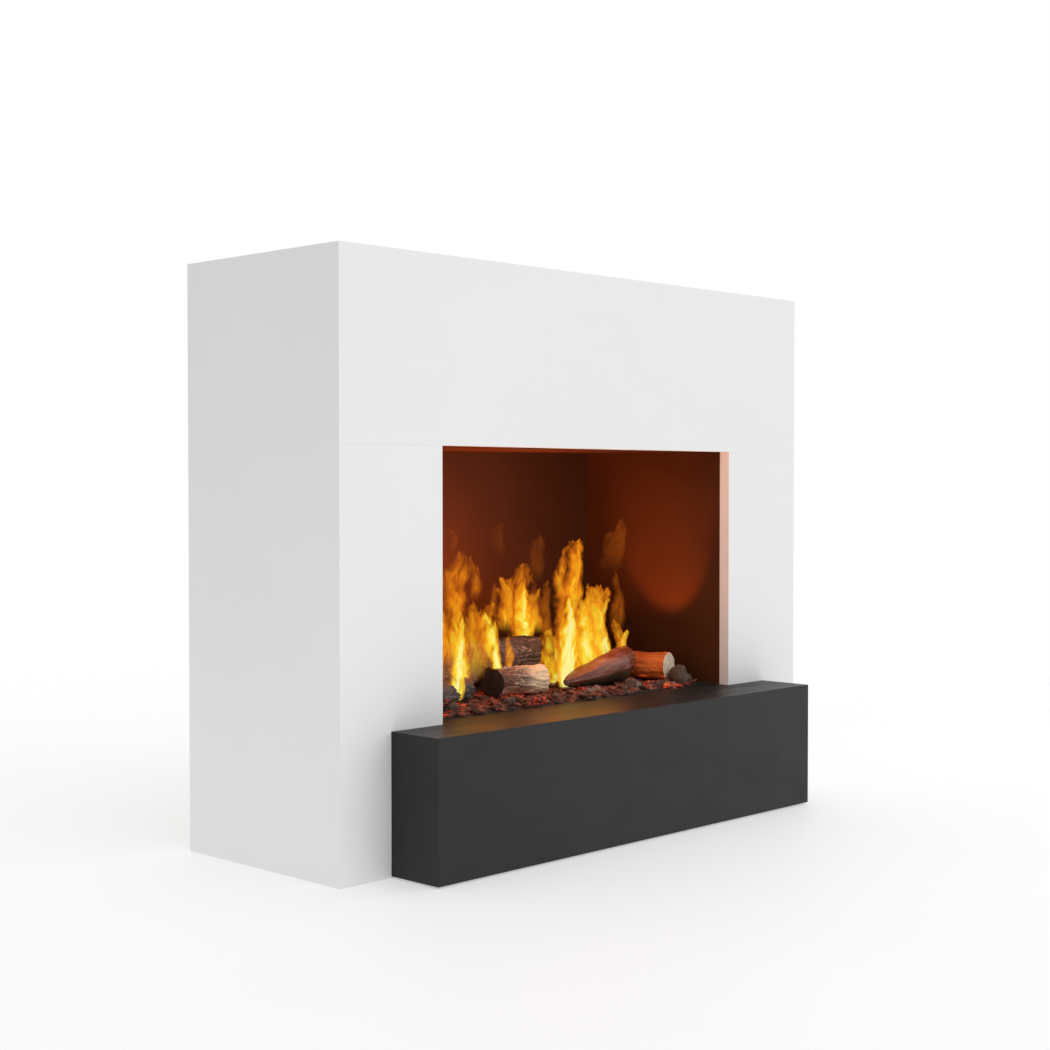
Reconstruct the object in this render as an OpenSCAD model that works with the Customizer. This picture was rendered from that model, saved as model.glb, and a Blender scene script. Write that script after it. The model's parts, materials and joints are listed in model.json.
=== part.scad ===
// Free-standing electric fireplace: a lacquered board surround with a fan heater over the
// firebox, and a pull-out hearth that carries the water-mist flame engine and its log bed.
// Millimetres. +Z is up, the room is on the -Y side and the wall on the +Y side. The origin
// is on the floor, below the middle of the whole object.

/* [Surround] */
// Overall width of the surround
surround_w = 1200; // [1150:10:1400]
// Depth of the surround, from its front face to the wall
surround_d = 400; // [400:5:460]
// Overall height of the surround
surround_h = 1000; // [960:10:1150]
// Thickness of the white lacquered boards
board_t = 22; // [19:1:25]

/* [Opening] */
// Clear width of the firebox opening
opening_w = 765; // [765:5:800]
// Height of the top of the opening above the floor
opening_top = 690; // [640:5:700]

/* [Hearth] */
// Width of the black hearth
hearth_w = 990; // [960:5:1050]
// How far the hearth stands out in front of the surround
hearth_d = 110; // [105:5:150]
// Height of the hearth's top face
hearth_h = 234; // [234:1:245]
// Thickness of the hearth's boards
hearth_board_t = 18; // [16:1:19]
// Running gap between the hearth drawer and the floor
hearth_gap = 3; // [2:1:5]

/* [Log bed] */
// Width of the ember bed
bed_w = 686; // [660:2:690]
// Depth of the ember bed
bed_d = 216; // [210:2:220]

/* [Fans] */
// Radius of the heater's crossflow impeller
impeller_r = 34; // [28:1:36]
// Number of blades on the crossflow impeller
impeller_blades = 24; // [16:2:30]
// Number of blades on the mist fan
mist_fan_blades = 7; // [5:1:9]

/* [Hidden] */

$fn = 48;

// Fits and sheet thicknesses
fit = 0.2;
sheet_t = 1.5;
plastic_t = 2.5;
carcass_t = 18;
through = 1;

// Joint between the pilasters and the lintel panel
pilaster_joint = 0.1;

// Main planes
hearth_y = -(surround_d + hearth_d) / 2;
front_y = hearth_y + hearth_d;
back_y = front_y + surround_d;
lining_y = front_y + board_t;
half_w = surround_w / 2;
inner_half_w = half_w - board_t;
jamb_x = opening_w / 2;
hearth_half_w = hearth_w / 2;

// Firebox lining
firebox_back_y = back_y - 28;
liner_gap = 0.5;
liner_z = hearth_h + liner_gap;

// Carcass behind the white boards; the back is set in to leave room for the mains lead
partition_x = jamb_x + sheet_t + fit;
partition_top = opening_top + 2;
rear_y = back_y - 22;
rear_rail_y = rear_y - carcass_t;
rear_rail_h = 80;
bracket_t = 2;
rear_rail_top_z = surround_h - board_t - bracket_t - 2 * fit - rear_rail_h;
stile_w = 40;
cover_t = 3;
cover_y = rear_y + fit;
cover_back_y = cover_y + cover_t;
cover_half_w = inner_half_w - 4;
cover_z = 20;
cover_top = rear_rail_top_z + 24;
gland_x = 480;
gland_z = 150;
gland_r = 8.8;
gland_bore_r = 4.2;
gland_length = 34;
wall_hole_x = 450;
wall_hole_z = surround_h - board_t - 34;
wall_hole_r = 3.25;

// Controls on the left firebox wall
control_y = front_y + 62;
control_z = 610;
control_w = 46;
control_h = 92;
rocker_z = control_z + 32;
knob_z = control_z - 2;
button_z = control_z - 32;
button_pitch = 22;
fascia_t = 2.5;
fascia_x = -jamb_x + fit;
board_x = fascia_x - 20;
rocker_pivot_x = fascia_x - 1.6;
rocker_half_l = 9.6;
rocker_pin_r = 1.2;
rocker_ear_t = 1.6;
rocker_tilt = 10;
knob_shaft_r = 4;
knob_r = 13;

// Fan heater above the firebox
heater_half_w = 215;
heater_y = lining_y + 3;
heater_back_y = 45;
heater_z = opening_top + sheet_t + fit;
heater_h = 152;
outlet_half_w = 172;
outlet_y = lining_y + 9;
outlet_d = 44;
rotor_y = -40;
rotor_z = heater_z + 82;
rotor_half_w = 145;
heater_shaft_r = 4;
running_fit = 0.06;

// Drawer runners, one channel inside the next
runner_z = 110;
runner_h = 45;
runner_length = 330;
runner_y = lining_y + 2;
runner_t = 1.2;

// Hearth drawer
tray_half_w = jamb_x - 13;
tray_z = 24;
tray_back_y = rear_rail_y - 4;
tongue_half_w = jamb_x - 1.5;
tongue_back_y = front_y + 39.5;
deck_t = 1.5;
hearth_under = hearth_h - hearth_board_t;

// Ember bed and its pan
bed_y = -hearth_d / 2 + 65 - bed_d / 2;
bed_flange = 12;
bed_top = hearth_h + 6;
pan_z = hearth_h - 13;
mist_slot_y = 2;
mist_slot_w = 16;
mist_slot_half_l = 270;
mound_top = bed_top + 22;
mound_y = 38;

// Mist engine
basin_half_w = 270;
basin_y = -40;
basin_d = 110;
basin_z = tray_z + 3.2;
basin_top = 95;
duct_top = pan_z - 1;
fan_size = 60;
fan_depth = 20;
fan_z = 130;
fan_bore_r = 28.5;
lamp_y = -60;
lamp_first_x = 75;
lamp_pitch = 90;
lamp_z = 142;

// Water tank behind the log bed
tank_y = 167;
tank_half_w = 148;
tank_d = 72;
tank_z = 64;
tank_top = hearth_h - 4;
tank_r = 10;
neck_r = 20;
cap_r = 30;
cap_z = 36;
recess_half_w = 75;
recess_z = tank_top - 16;
recess_half_d = 25;
handle_pivot_y = tank_y - 18;
handle_z = tank_top - 8;
handle_pin_r = 3;

// ---- helpers ----

// Plan outline extruded upwards
module prism_z(points, z0, z1) {
    translate([0, 0, z0]) linear_extrude(z1 - z0) polygon(points);
}

// Outline in X and Z, extruded along Y
module prism_y(points, y0, y1) {
    translate([0, y1, 0]) rotate([90, 0, 0]) linear_extrude(y1 - y0) polygon(points);
}

// Outline in Y and Z, extruded along X
module prism_x(points, x0, x1) {
    translate([x0, 0, 0]) rotate([90, 0, 90]) linear_extrude(x1 - x0) polygon(points);
}

// Box between two corners
module block(low, high) {
    translate(low) cube(high - low);
}

module rod_x(r, x0, x1, y, z) {
    translate([x0, y, z]) rotate([0, 90, 0]) cylinder(r = r, h = x1 - x0);
}

module rod_y(r, x, y0, y1, z) {
    translate([x, y1, z]) rotate([90, 0, 0]) cylinder(r = r, h = y1 - y0);
}

module rod_z(r, x, y, z0, z1) {
    translate([x, y, z0]) cylinder(r = r, h = z1 - z0);
}

module on_both_sides() {
    children();
    mirror([1, 0, 0]) children();
}

// Rectangle with true round corners, centred on the origin
module rounded_rect(w, d, r) {
    square([w - 2 * r, d], center = true);
    square([w, d - 2 * r], center = true);
    for (sx = [-1, 1], sy = [-1, 1])
        translate([sx * (w / 2 - r), sy * (d / 2 - r)]) circle(r = r);
}

// Solid cylinder or cone from one point towards another
module log_between(a, b, ra, rb) {
    d = b - a;
    length = norm(d);
    translate(a)
        rotate([0, acos(d[2] / length), atan2(d[1], d[0])])
            cylinder(r1 = ra, r2 = rb, h = length);
}

// ---- white surround ----

// Left side board: mitred to the front boards and to the top
module side_board() {
    intersection() {
        prism_z([[-half_w, front_y], [-inner_half_w, lining_y],
            [-inner_half_w, back_y], [-half_w, back_y]], 0, surround_h);
        prism_y([[-half_w, 0], [-inner_half_w, 0],
            [-inner_half_w, surround_h - board_t], [-half_w, surround_h]],
            front_y, back_y);
    }
}

module side_panel_left() {
    color("whitesmoke") side_board();
}

module side_panel_right() {
    color("whitesmoke") mirror([1, 0, 0]) side_board();
}

module pilaster_board() {
    prism_z([[-half_w, front_y], [-jamb_x, front_y], [-jamb_x, lining_y],
        [-inner_half_w, lining_y]], 0, opening_top - pilaster_joint);
}

module pilaster_left() {
    color("whitesmoke") pilaster_board();
}

module pilaster_right() {
    color("whitesmoke") mirror([1, 0, 0]) pilaster_board();
}

module lintel_panel() {
    color("whitesmoke") intersection() {
        prism_z([[-half_w, front_y], [half_w, front_y], [inner_half_w, lining_y],
            [-inner_half_w, lining_y]], opening_top, surround_h);
        prism_x([[front_y, opening_top], [lining_y, opening_top],
            [lining_y, surround_h - board_t], [front_y, surround_h]], -half_w, half_w);
    }
}

module top_panel() {
    color("whitesmoke") intersection() {
        prism_y([[-half_w, surround_h], [half_w, surround_h],
            [inner_half_w, surround_h - board_t], [-inner_half_w, surround_h - board_t]],
            front_y, back_y);
        prism_x([[front_y, surround_h], [back_y, surround_h],
            [back_y, surround_h - board_t], [lining_y, surround_h - board_t]],
            -half_w, half_w);
    }
}

// ---- carcass ----

module base_board() {
    color("burlywood")
        block([-inner_half_w + fit, lining_y + fit, 0],
            [inner_half_w - fit, rear_rail_y - fit, carcass_t]);
}

// Notched at its foot for the bottom rail
module partition() {
    difference() {
        block([-partition_x - carcass_t, lining_y + fit, carcass_t + fit],
            [-partition_x, rear_y, partition_top]);
        block([-partition_x - carcass_t - through, rear_rail_y - fit, 0],
            [-partition_x + through, rear_y + through, carcass_t + rear_rail_h + 2 * fit]);
    }
}

// Window that the control housing passes through
module control_window(x0, x1) {
    block([x0, control_y - control_w / 2, control_z - control_h / 2],
        [x1, control_y + control_w / 2, control_z + control_h / 2]);
}

module partition_left() {
    color("burlywood") difference() {
        partition();
        control_window(-partition_x - carcass_t - through, -partition_x + through);
    }
}

module partition_right() {
    color("burlywood") mirror([1, 0, 0]) partition();
}

module ceiling_shelf() {
    color("burlywood")
        block([-partition_x - carcass_t, heater_back_y + 3, partition_top + fit],
            [partition_x + carcass_t, rear_y, partition_top + carcass_t]);
}

screw_columns = [-cover_half_w + 14, -190, 190, cover_half_w - 14];
screw_rows = [cover_z + 30, cover_top - 12];
stile_screw_z = (screw_rows[0] + screw_rows[1]) / 2;

// Places of the cover's screws, as points in X and Z
screw_points = concat([for (x = screw_columns, z = screw_rows) [x, z]],
    [for (x = [screw_columns[0], screw_columns[3]]) [x, stile_screw_z]]);

module rear_rail(z) {
    block([-inner_half_w + fit, rear_rail_y, z], [inner_half_w - fit, rear_y, z + rear_rail_h]);
}

// Two rails and two stiles, with pilot holes for the cover's screws
module rear_frame() {
    pilot_depth = 14;
    color("burlywood") difference() {
        union() {
            rear_rail(carcass_t + fit);
            rear_rail(rear_rail_top_z - fit);
            on_both_sides()
                block([inner_half_w - fit - stile_w, rear_rail_y,
                    carcass_t + rear_rail_h + 2 * fit],
                    [inner_half_w - fit, rear_y, rear_rail_top_z - 2 * fit]);
        }
        for (p = screw_points) rod_y(2.1, p[0], rear_y - pilot_depth, rear_y + through, p[1]);
    }
}

// Steel angles: one leg between the top and its rail, the other flush with the wall
module wall_brackets() {
    half_w = 20;
    top_z = surround_h - board_t - fit;
    color("silver") on_both_sides() difference() {
        union() {
            block([wall_hole_x - half_w, back_y - bracket_t, wall_hole_z - 16],
                [wall_hole_x + half_w, back_y, top_z]);
            block([wall_hole_x - half_w, back_y - 50, top_z - bracket_t],
                [wall_hole_x + half_w, back_y, top_z]);
        }
        rod_y(wall_hole_r, wall_hole_x, back_y - bracket_t - through, back_y + through,
            wall_hole_z);
        for (dx = [-10, 10])
            rod_z(2.2, wall_hole_x + dx, back_y - 45, top_z - bracket_t - through, top_z + through);
    }
}

vent_slot_l = 110;
vent_slot_h = 6;
vent_rows = 7;
vent_pitch = 14;

// One block of ventilation slots, centred at x and z
module vent_slots(x, z) {
    for (row = [0:vent_rows - 1])
        translate([x, 0, z + (row - (vent_rows - 1) / 2) * vent_pitch])
            block([-vent_slot_l / 2, cover_y - through, -vent_slot_h / 2],
                [vent_slot_l / 2, cover_back_y + through, vent_slot_h / 2]);
}

module back_cover() {
    color("tan") difference() {
        block([-cover_half_w, cover_y, cover_z], [cover_half_w, cover_back_y, cover_top]);
        for (x = [-140, 0, 140]) {
            vent_slots(x, 780);
            vent_slots(x, 165);
        }
        rod_y(gland_r + fit, gland_x, cover_y - through, cover_back_y + through, gland_z);
        for (p = screw_points)
            rod_y(2.2, p[0], cover_y - through, cover_back_y + through, p[1]);
    }
}

// Pan-head screws with a slot
module back_cover_screws() {
    head_h = 2.4;
    head_y = cover_back_y + 0.1;
    color("dimgray") for (p = screw_points) difference() {
        union() {
            rod_y(2, p[0], rear_y - 12, head_y + 0.5, p[1]);
            rod_y(4, p[0], head_y, head_y + head_h, p[1]);
        }
        block([p[0] - 3.4, head_y + head_h - 1, p[1] - 0.5],
            [p[0] + 3.4, head_y + head_h + through, p[1] + 0.5]);
    }
}

// Strain relief that the mains lead passes through
module mains_gland() {
    y0 = cover_y - 16;
    y1 = y0 + gland_length;
    color("black") difference() {
        union() {
            rod_y(gland_r, gland_x, y0, y1 - 4, gland_z);
            rod_y(gland_r - 2, gland_x, y1 - 5, y1, gland_z);
            translate([gland_x, cover_y - fit, gland_z]) rotate([90, 0, 0])
                cylinder(r = 14, h = 8, $fn = 6);
            translate([gland_x, cover_back_y + fit + 6, gland_z]) rotate([90, 0, 0])
                cylinder(r = 13, h = 6, $fn = 6);
        }
        rod_y(gland_bore_r, gland_x, y0 - through, y1 + through, gland_z);
    }
}

// ---- firebox lining ----

module firebox_back() {
    color("saddlebrown")
        block([-jamb_x + fit, firebox_back_y, liner_z],
            [jamb_x - fit, firebox_back_y + sheet_t, opening_top - fit]);
}

module firebox_side() {
    block([-jamb_x - sheet_t, lining_y + fit, liner_z],
        [-jamb_x, firebox_back_y + sheet_t, opening_top - fit]);
}

module firebox_side_left() {
    color("saddlebrown") difference() {
        firebox_side();
        control_window(-jamb_x - sheet_t - through, -jamb_x + through);
    }
}

module firebox_side_right() {
    color("saddlebrown") mirror([1, 0, 0]) firebox_side();
}

module firebox_ceiling() {
    color("saddlebrown") difference() {
        block([-jamb_x - sheet_t, lining_y + fit, opening_top],
            [jamb_x + sheet_t, firebox_back_y + sheet_t, opening_top + sheet_t]);
        block([-outlet_half_w, outlet_y, opening_top - through],
            [outlet_half_w, outlet_y + outlet_d, opening_top + sheet_t + through]);
    }
}

// ---- fan heater ----

module heater_grille() {
    rim = 4;
    bars = 8;
    gap = 3;
    pitch = (outlet_d - 2 * rim) / bars;
    color("black") difference() {
        block([-outlet_half_w + fit, outlet_y + fit, opening_top],
            [outlet_half_w - fit, outlet_y + outlet_d - fit, opening_top + sheet_t]);
        for (bar = [0:bars - 1], side = [-1, 1])
            translate([side * (outlet_half_w / 2 - 1), 0, 0])
                block([-outlet_half_w / 2 + rim, outlet_y + rim + bar * pitch,
                    opening_top - through],
                    [outlet_half_w / 2 - rim, outlet_y + rim + bar * pitch + gap,
                    opening_top + 3]);
    }
}

// Sheet casing with two bulkheads, open to the outlet below and the intake behind
module heater_casing() {
    wall = 1.2;
    bulkhead_x = rotor_half_w + 7;
    color("gainsboro") {
        difference() {
            block([-heater_half_w, heater_y, heater_z],
                [heater_half_w, heater_back_y, heater_z + heater_h]);
            block([-heater_half_w + wall, heater_y + wall, heater_z + wall],
                [heater_half_w - wall, heater_back_y - wall, heater_z + heater_h - wall]);
            block([-outlet_half_w + 20, outlet_y, heater_z - through],
                [outlet_half_w - 20, outlet_y + outlet_d, heater_z + 2 * wall]);
            for (row = [0:8])
                block([-rotor_half_w, heater_back_y - 2 * wall, heater_z + 20 + row * 13],
                    [rotor_half_w, heater_back_y + through, heater_z + 26 + row * 13]);
        }
        for (x = [-bulkhead_x - wall, bulkhead_x]) difference() {
            block([x, heater_y + wall, heater_z + wall],
                [x + wall, heater_back_y - wall, heater_z + heater_h - wall]);
            rod_x(heater_shaft_r + running_fit, x - through, x + wall + through,
                rotor_y, rotor_z);
        }
    }
}

module heater_element() {
    fins = 36;
    fin_t = 0.8;
    half_w = rotor_half_w + 6.8;
    pitch = (2 * half_w - 20) / fins;
    color("silver") {
        for (y = [outlet_y + 4, outlet_y + outlet_d - 7])
            block([-half_w, y, heater_z + 4], [half_w, y + 3, heater_z + 22]);
        for (fin = [0:fins])
            translate([(fin - fins / 2) * pitch - fin_t / 2, 0, 0])
                block([0, outlet_y + 6, heater_z + 5],
                    [fin_t, outlet_y + outlet_d - 6, heater_z + 21]);
    }
}

module heater_motor() {
    x0 = -heater_half_w + 5;
    x1 = -rotor_half_w - 9;
    color("dimgray") difference() {
        union() {
            rod_x(30, x0, x1 - 8, rotor_y, rotor_z);
            rod_x(12, x1 - 9, x1, rotor_y, rotor_z);
            block([x0 + 6, rotor_y - 26, heater_z + 1.3],
                [x1 - 14, rotor_y + 26, rotor_z - 20]);
        }
        rod_x(heater_shaft_r + running_fit, x0 + 8, x1 + through, rotor_y, rotor_z);
    }
}

module heater_shaft() {
    color("silver")
        rod_x(heater_shaft_r, -heater_half_w + 14, rotor_half_w + 12, rotor_y, rotor_z);
}

// Crossflow wheel: a ring of blades between four discs
module heater_impeller() {
    disc_t = 2;
    color("slategray") difference() {
        union() {
            for (i = [0:3]) {
                x = -rotor_half_w + i * (2 * rotor_half_w - disc_t) / 3;
                rod_x(impeller_r, x, x + disc_t, rotor_y, rotor_z);
            }
            for (blade = [0:impeller_blades - 1])
                translate([0, rotor_y, rotor_z])
                    rotate([blade * 360 / impeller_blades, 0, 0])
                        translate([0, 0, impeller_r - 5])
                            rotate([35, 0, 0])
                                block([-rotor_half_w, -4, -0.5], [rotor_half_w, 4, 0.5]);
        }
        rod_x(heater_shaft_r + 0.05, -rotor_half_w - through, rotor_half_w + through,
            rotor_y, rotor_z);
    }
}

// ---- controls ----

module control_fascia() {
    margin = 4;
    hole_x0 = fascia_x - through;
    hole_x1 = fascia_x + fascia_t + through;
    color("black") difference() {
        block([fascia_x, control_y - control_w / 2 - margin, control_z - control_h / 2 - margin],
            [fascia_x + fascia_t, control_y + control_w / 2 + margin,
            control_z + control_h / 2 + margin]);
        block([hole_x0, control_y - 10, rocker_z - 8.3], [hole_x1, control_y + 10, rocker_z + 8.3]);
        rod_x(knob_shaft_r + 0.3, hole_x0, hole_x1, control_y, knob_z);
        for (side = [-1, 1])
            rod_x(5.3, hole_x0, hole_x1, control_y + side * button_pitch / 2, button_z);
        for (side = [-1, 1])
            rod_x(1.5, hole_x0, hole_x1, control_y + side * 6, button_z - 11);
    }
}

module control_housing() {
    depth = 46;
    wall = 2;
    half_w = control_w / 2 - fit;
    half_h = control_h / 2 - fit;
    color("dimgray") difference() {
        block([fascia_x - fit - depth, control_y - half_w, control_z - half_h],
            [fascia_x - fit, control_y + half_w, control_z + half_h]);
        block([fascia_x - fit - depth + wall, control_y - half_w + wall, control_z - half_h + wall],
            [fascia_x + through, control_y + half_w - wall, control_z + half_h - wall]);
    }
}

// Body of the power switch, with two ears that hold the rocker's pivot
module rocker_switch(back_x) {
    ear_y = rocker_half_l + fit;
    half_l = ear_y + rocker_ear_t;
    difference() {
        union() {
            block([back_x, control_y - half_l, rocker_z - 8],
                [fascia_x - 6, control_y + half_l, rocker_z + 8]);
            for (y = [-half_l, ear_y])
                block([fascia_x - 7, control_y + y, rocker_z - 3],
                    [fascia_x - 0.3, control_y + y + rocker_ear_t, rocker_z + 3]);
        }
        rod_y(rocker_pin_r + running_fit, rocker_pivot_x, control_y - half_l - through,
            control_y + half_l + through, rocker_z);
    }
}

module control_board() {
    front_x = board_x + 1.5;
    color("darkgreen") {
        block([board_x, control_y - 19, control_z - 42], [front_x, control_y + 19, control_z + 42]);
        rocker_switch(front_x - 0.5);
        difference() {
            block([front_x - 0.5, control_y - 9, knob_z - 9], [front_x + 8, control_y + 9, knob_z + 9]);
            rod_x(knob_shaft_r + running_fit, front_x + 1, front_x + 9, control_y, knob_z);
        }
        for (side = [-1, 1])
            rod_x(3.5, front_x - 0.5, fascia_x - 11.5, control_y + side * button_pitch / 2, button_z);
        block([board_x - 12, control_y - 14, control_z + 4],
            [board_x + 0.5, control_y + 6, control_z + 30]);
        block([board_x - 8, control_y - 12, control_z - 34],
            [board_x + 0.5, control_y + 12, control_z - 12]);
    }
}

// Rocker with two facets on a pivot pin, at rest with its lower half pressed in
module power_rocker() {
    pin_half_l = rocker_half_l + fit + rocker_ear_t;
    color("red") translate([rocker_pivot_x, control_y, rocker_z]) rotate([0, rocker_tilt, 0]) {
        prism_y([[-2.5, -4], [2.6, -7], [3.6, 0], [2.6, 7], [-2.5, 4]], -rocker_half_l, rocker_half_l);
        rod_y(rocker_pin_r, 0, -pin_half_l, pin_half_l, 0);
    }
}

module flame_knob() {
    face_x = fascia_x + fascia_t + 0.4;
    color("silver") difference() {
        union() {
            rod_x(knob_r, face_x, face_x + 15, control_y, knob_z);
            rod_x(knob_shaft_r, board_x + 4, face_x + 1, control_y, knob_z);
        }
        block([face_x + 13.8, control_y - 0.8, knob_z + 3],
            [face_x + 16, control_y + 0.8, knob_z + knob_r - 1]);
    }
}

module push_button(side) {
    rod_x(5, fascia_x - 9, fascia_x + fascia_t + 2, control_y + side * button_pitch / 2, button_z);
}

module heat_button() {
    color("dimgray") push_button(-1);
}

module glow_button() {
    color("dimgray") push_button(1);
}

// ---- drawer runners ----

// Channel with its web at web_x, lips reaching to lip_x, and outer height h
module channel(web_x, lip_x, h) {
    low_x = min(web_x, lip_x);
    high_x = max(web_x, lip_x);
    web_low = web_x == high_x ? web_x - runner_t : web_x;
    y0 = runner_y;
    y1 = runner_y + runner_length;
    block([web_low, y0, runner_z - h / 2], [web_low + runner_t, y1, runner_z + h / 2]);
    for (z = [runner_z - h / 2, runner_z + h / 2 - runner_t])
        block([low_x, y0, z], [high_x, y1, z + runner_t]);
}

module runner_outer_rails() {
    color("silver") on_both_sides()
        channel(partition_x - fit / 2, partition_x - 11.2, runner_h);
}

module runner_middle_rails() {
    h = runner_h - 2 * runner_t - 2;
    web_x = tray_half_w + 8.6;
    color("silver") on_both_sides() {
        channel(web_x, tray_half_w + 3.8, h);
        channel(web_x - runner_t, tray_half_w + 12.4, h);
    }
}

module runner_inner_rails() {
    h = runner_h - 4 * runner_t - 4;
    color("silver") on_both_sides()
        channel(tray_half_w + fit, tray_half_w + 6.8, h);
}

// ---- hearth drawer ----

hearth_back_y = front_y - 0.5;
hearth_inner_y = hearth_y + hearth_board_t;
hearth_inner_x = hearth_half_w - hearth_board_t;

// Mitre outline in X and Z that a hearth end and the top share
module hearth_end() {
    intersection() {
        prism_z([[-hearth_half_w, hearth_y], [-hearth_inner_x, hearth_inner_y],
            [-hearth_inner_x, hearth_back_y], [-hearth_half_w, hearth_back_y]],
            hearth_gap, hearth_h);
        prism_y([[-hearth_half_w, hearth_gap], [-hearth_inner_x, hearth_gap],
            [-hearth_inner_x, hearth_under], [-hearth_half_w, hearth_h]],
            hearth_y, hearth_back_y);
    }
}

module hearth_end_left() {
    color([0.2, 0.2, 0.2]) hearth_end();
}

module hearth_end_right() {
    color([0.2, 0.2, 0.2]) mirror([1, 0, 0]) hearth_end();
}

module hearth_front() {
    color([0.22, 0.22, 0.22]) intersection() {
        prism_z([[-hearth_half_w, hearth_y], [hearth_half_w, hearth_y],
            [hearth_inner_x, hearth_inner_y], [-hearth_inner_x, hearth_inner_y]],
            hearth_gap, hearth_h);
        prism_x([[hearth_y, hearth_gap], [hearth_inner_y, hearth_gap],
            [hearth_inner_y, hearth_under], [hearth_y, hearth_h]],
            -hearth_half_w, hearth_half_w);
    }
}

// Top board, with a tongue that reaches into the opening
module hearth_top() {
    color([0.25, 0.25, 0.25]) {
        intersection() {
            prism_y([[-hearth_half_w, hearth_h], [hearth_half_w, hearth_h],
                [hearth_inner_x, hearth_under], [-hearth_inner_x, hearth_under]],
                hearth_y, hearth_back_y);
            prism_x([[hearth_y, hearth_h], [hearth_back_y, hearth_h],
                [hearth_back_y, hearth_under], [hearth_inner_y, hearth_under]],
                -hearth_half_w, hearth_half_w);
        }
        block([-tongue_half_w, hearth_back_y - 1, hearth_under],
            [tongue_half_w, tongue_back_y, hearth_h]);
    }
}

// Sheet steel tray that carries the engine, open at the top and towards the hearth's front
module drawer_tray() {
    deck_under = hearth_h - deck_t - fit;
    color("dimgray") difference() {
        block([-tray_half_w, hearth_inner_y + fit, tray_z], [tray_half_w, tray_back_y, deck_under]);
        block([-tray_half_w + sheet_t, hearth_inner_y, tray_z + sheet_t],
            [tray_half_w - sheet_t, tray_back_y - sheet_t, deck_under + through]);
        block([-tray_half_w - through, hearth_inner_y, hearth_under - fit],
            [tray_half_w + through, tongue_back_y + fit, deck_under + through]);
    }
}

// Firebox floor round the ember pan and the tank's hatch
module deck_plate() {
    hatch = 3;
    color("black") difference() {
        block([-tongue_half_w, tongue_back_y + fit, hearth_h - deck_t],
            [tongue_half_w, firebox_back_y - 2, hearth_h]);
        block([-bed_w / 2 + bed_flange - 2, bed_y + bed_flange - 2, hearth_h - 2 * deck_t],
            [bed_w / 2 - bed_flange + 2, bed_y + bed_d - bed_flange + 2, hearth_h + through]);
        block([-tank_half_w - hatch, tank_y - tank_d / 2 - hatch, hearth_h - 2 * deck_t],
            [tank_half_w + hatch, tank_y + tank_d / 2 + hatch, hearth_h + through]);
    }
}

// ---- mist engine ----

module mist_basin() {
    color("ivory") difference() {
        block([-basin_half_w, basin_y, basin_z], [basin_half_w, basin_y + basin_d, basin_top]);
        block([-basin_half_w + plastic_t, basin_y + plastic_t, basin_z + plastic_t],
            [basin_half_w - plastic_t, basin_y + basin_d - plastic_t, basin_top + through]);
        rod_y(8.3, 60, basin_y + basin_d - 2 * plastic_t, basin_y + basin_d + through, 42);
    }
}

// Two ultrasonic heads that stand in the basin
module ultrasonic_units() {
    floor_z = basin_z + plastic_t + 0.2;
    color("goldenrod") for (x = [-130, 130]) {
        difference() {
            rod_z(26, x, 15, floor_z, floor_z + 16);
            rod_z(14, x, 15, floor_z + 10, floor_z + 17);
        }
        rod_z(10, x, 15, floor_z + 10.1, floor_z + 11.5);
    }
}

// Hood over the basin, narrowing to the slot that the mist leaves by
module mist_duct() {
    slot_y0 = mist_slot_y - 4;
    slot_y1 = mist_slot_y + mist_slot_w + 4;
    y0 = basin_y;
    y1 = basin_y + basin_d;
    foot_z = basin_top + fit;
    shoulder_z = 165;
    throat_z = 192;
    t = plastic_t;
    outer = [[y0, foot_z], [y1, foot_z], [y1, shoulder_z], [slot_y1, throat_z],
        [slot_y1, duct_top], [slot_y0, duct_top], [slot_y0, throat_z], [y0, shoulder_z]];
    inner = [[y0 + t, foot_z - t], [y1 - t, foot_z - t], [y1 - t, shoulder_z - t],
        [slot_y1 - t, throat_z - t], [slot_y1 - t, duct_top + t], [slot_y0 + t, duct_top + t],
        [slot_y0 + t, throat_z - t], [y0 + t, shoulder_z - t]];
    color("dimgray") difference() {
        prism_x(outer, -basin_half_w, basin_half_w);
        prism_x(inner, -basin_half_w + t, basin_half_w - t);
        rod_y(fan_bore_r - 1, 0, y0 - through, y0 + 2 * t, fan_z);
    }
}

fan_y0 = basin_y - fan_depth - 0.3;
fan_y1 = basin_y - 0.3;
fan_hub_r = 12;
fan_pin_r = 1.5;

module mist_fan_frame() {
    color("black") {
        difference() {
            block([-fan_size / 2, fan_y0, fan_z - fan_size / 2],
                [fan_size / 2, fan_y1, fan_z + fan_size / 2]);
            rod_y(fan_bore_r, 0, fan_y0 - through, fan_y1 + through, fan_z);
            for (sx = [-1, 1], sz = [-1, 1])
                rod_y(2.1, sx * 25, fan_y0 - through, fan_y1 + through, fan_z + sz * 25);
        }
        difference() {
            union() {
                rod_y(fan_hub_r, 0, fan_y1 - 3, fan_y1, fan_z);
                for (strut = [0:2])
                    translate([0, fan_y1 - 3, fan_z]) rotate([0, 90 + strut * 120, 0])
                        block([fan_hub_r - 2, 0, -2], [fan_bore_r + 0.6, 3, 2]);
            }
            rod_y(1.5 + running_fit, 0, fan_y1 - 4, fan_y1 + through, fan_z);
        }
    }
}

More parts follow.
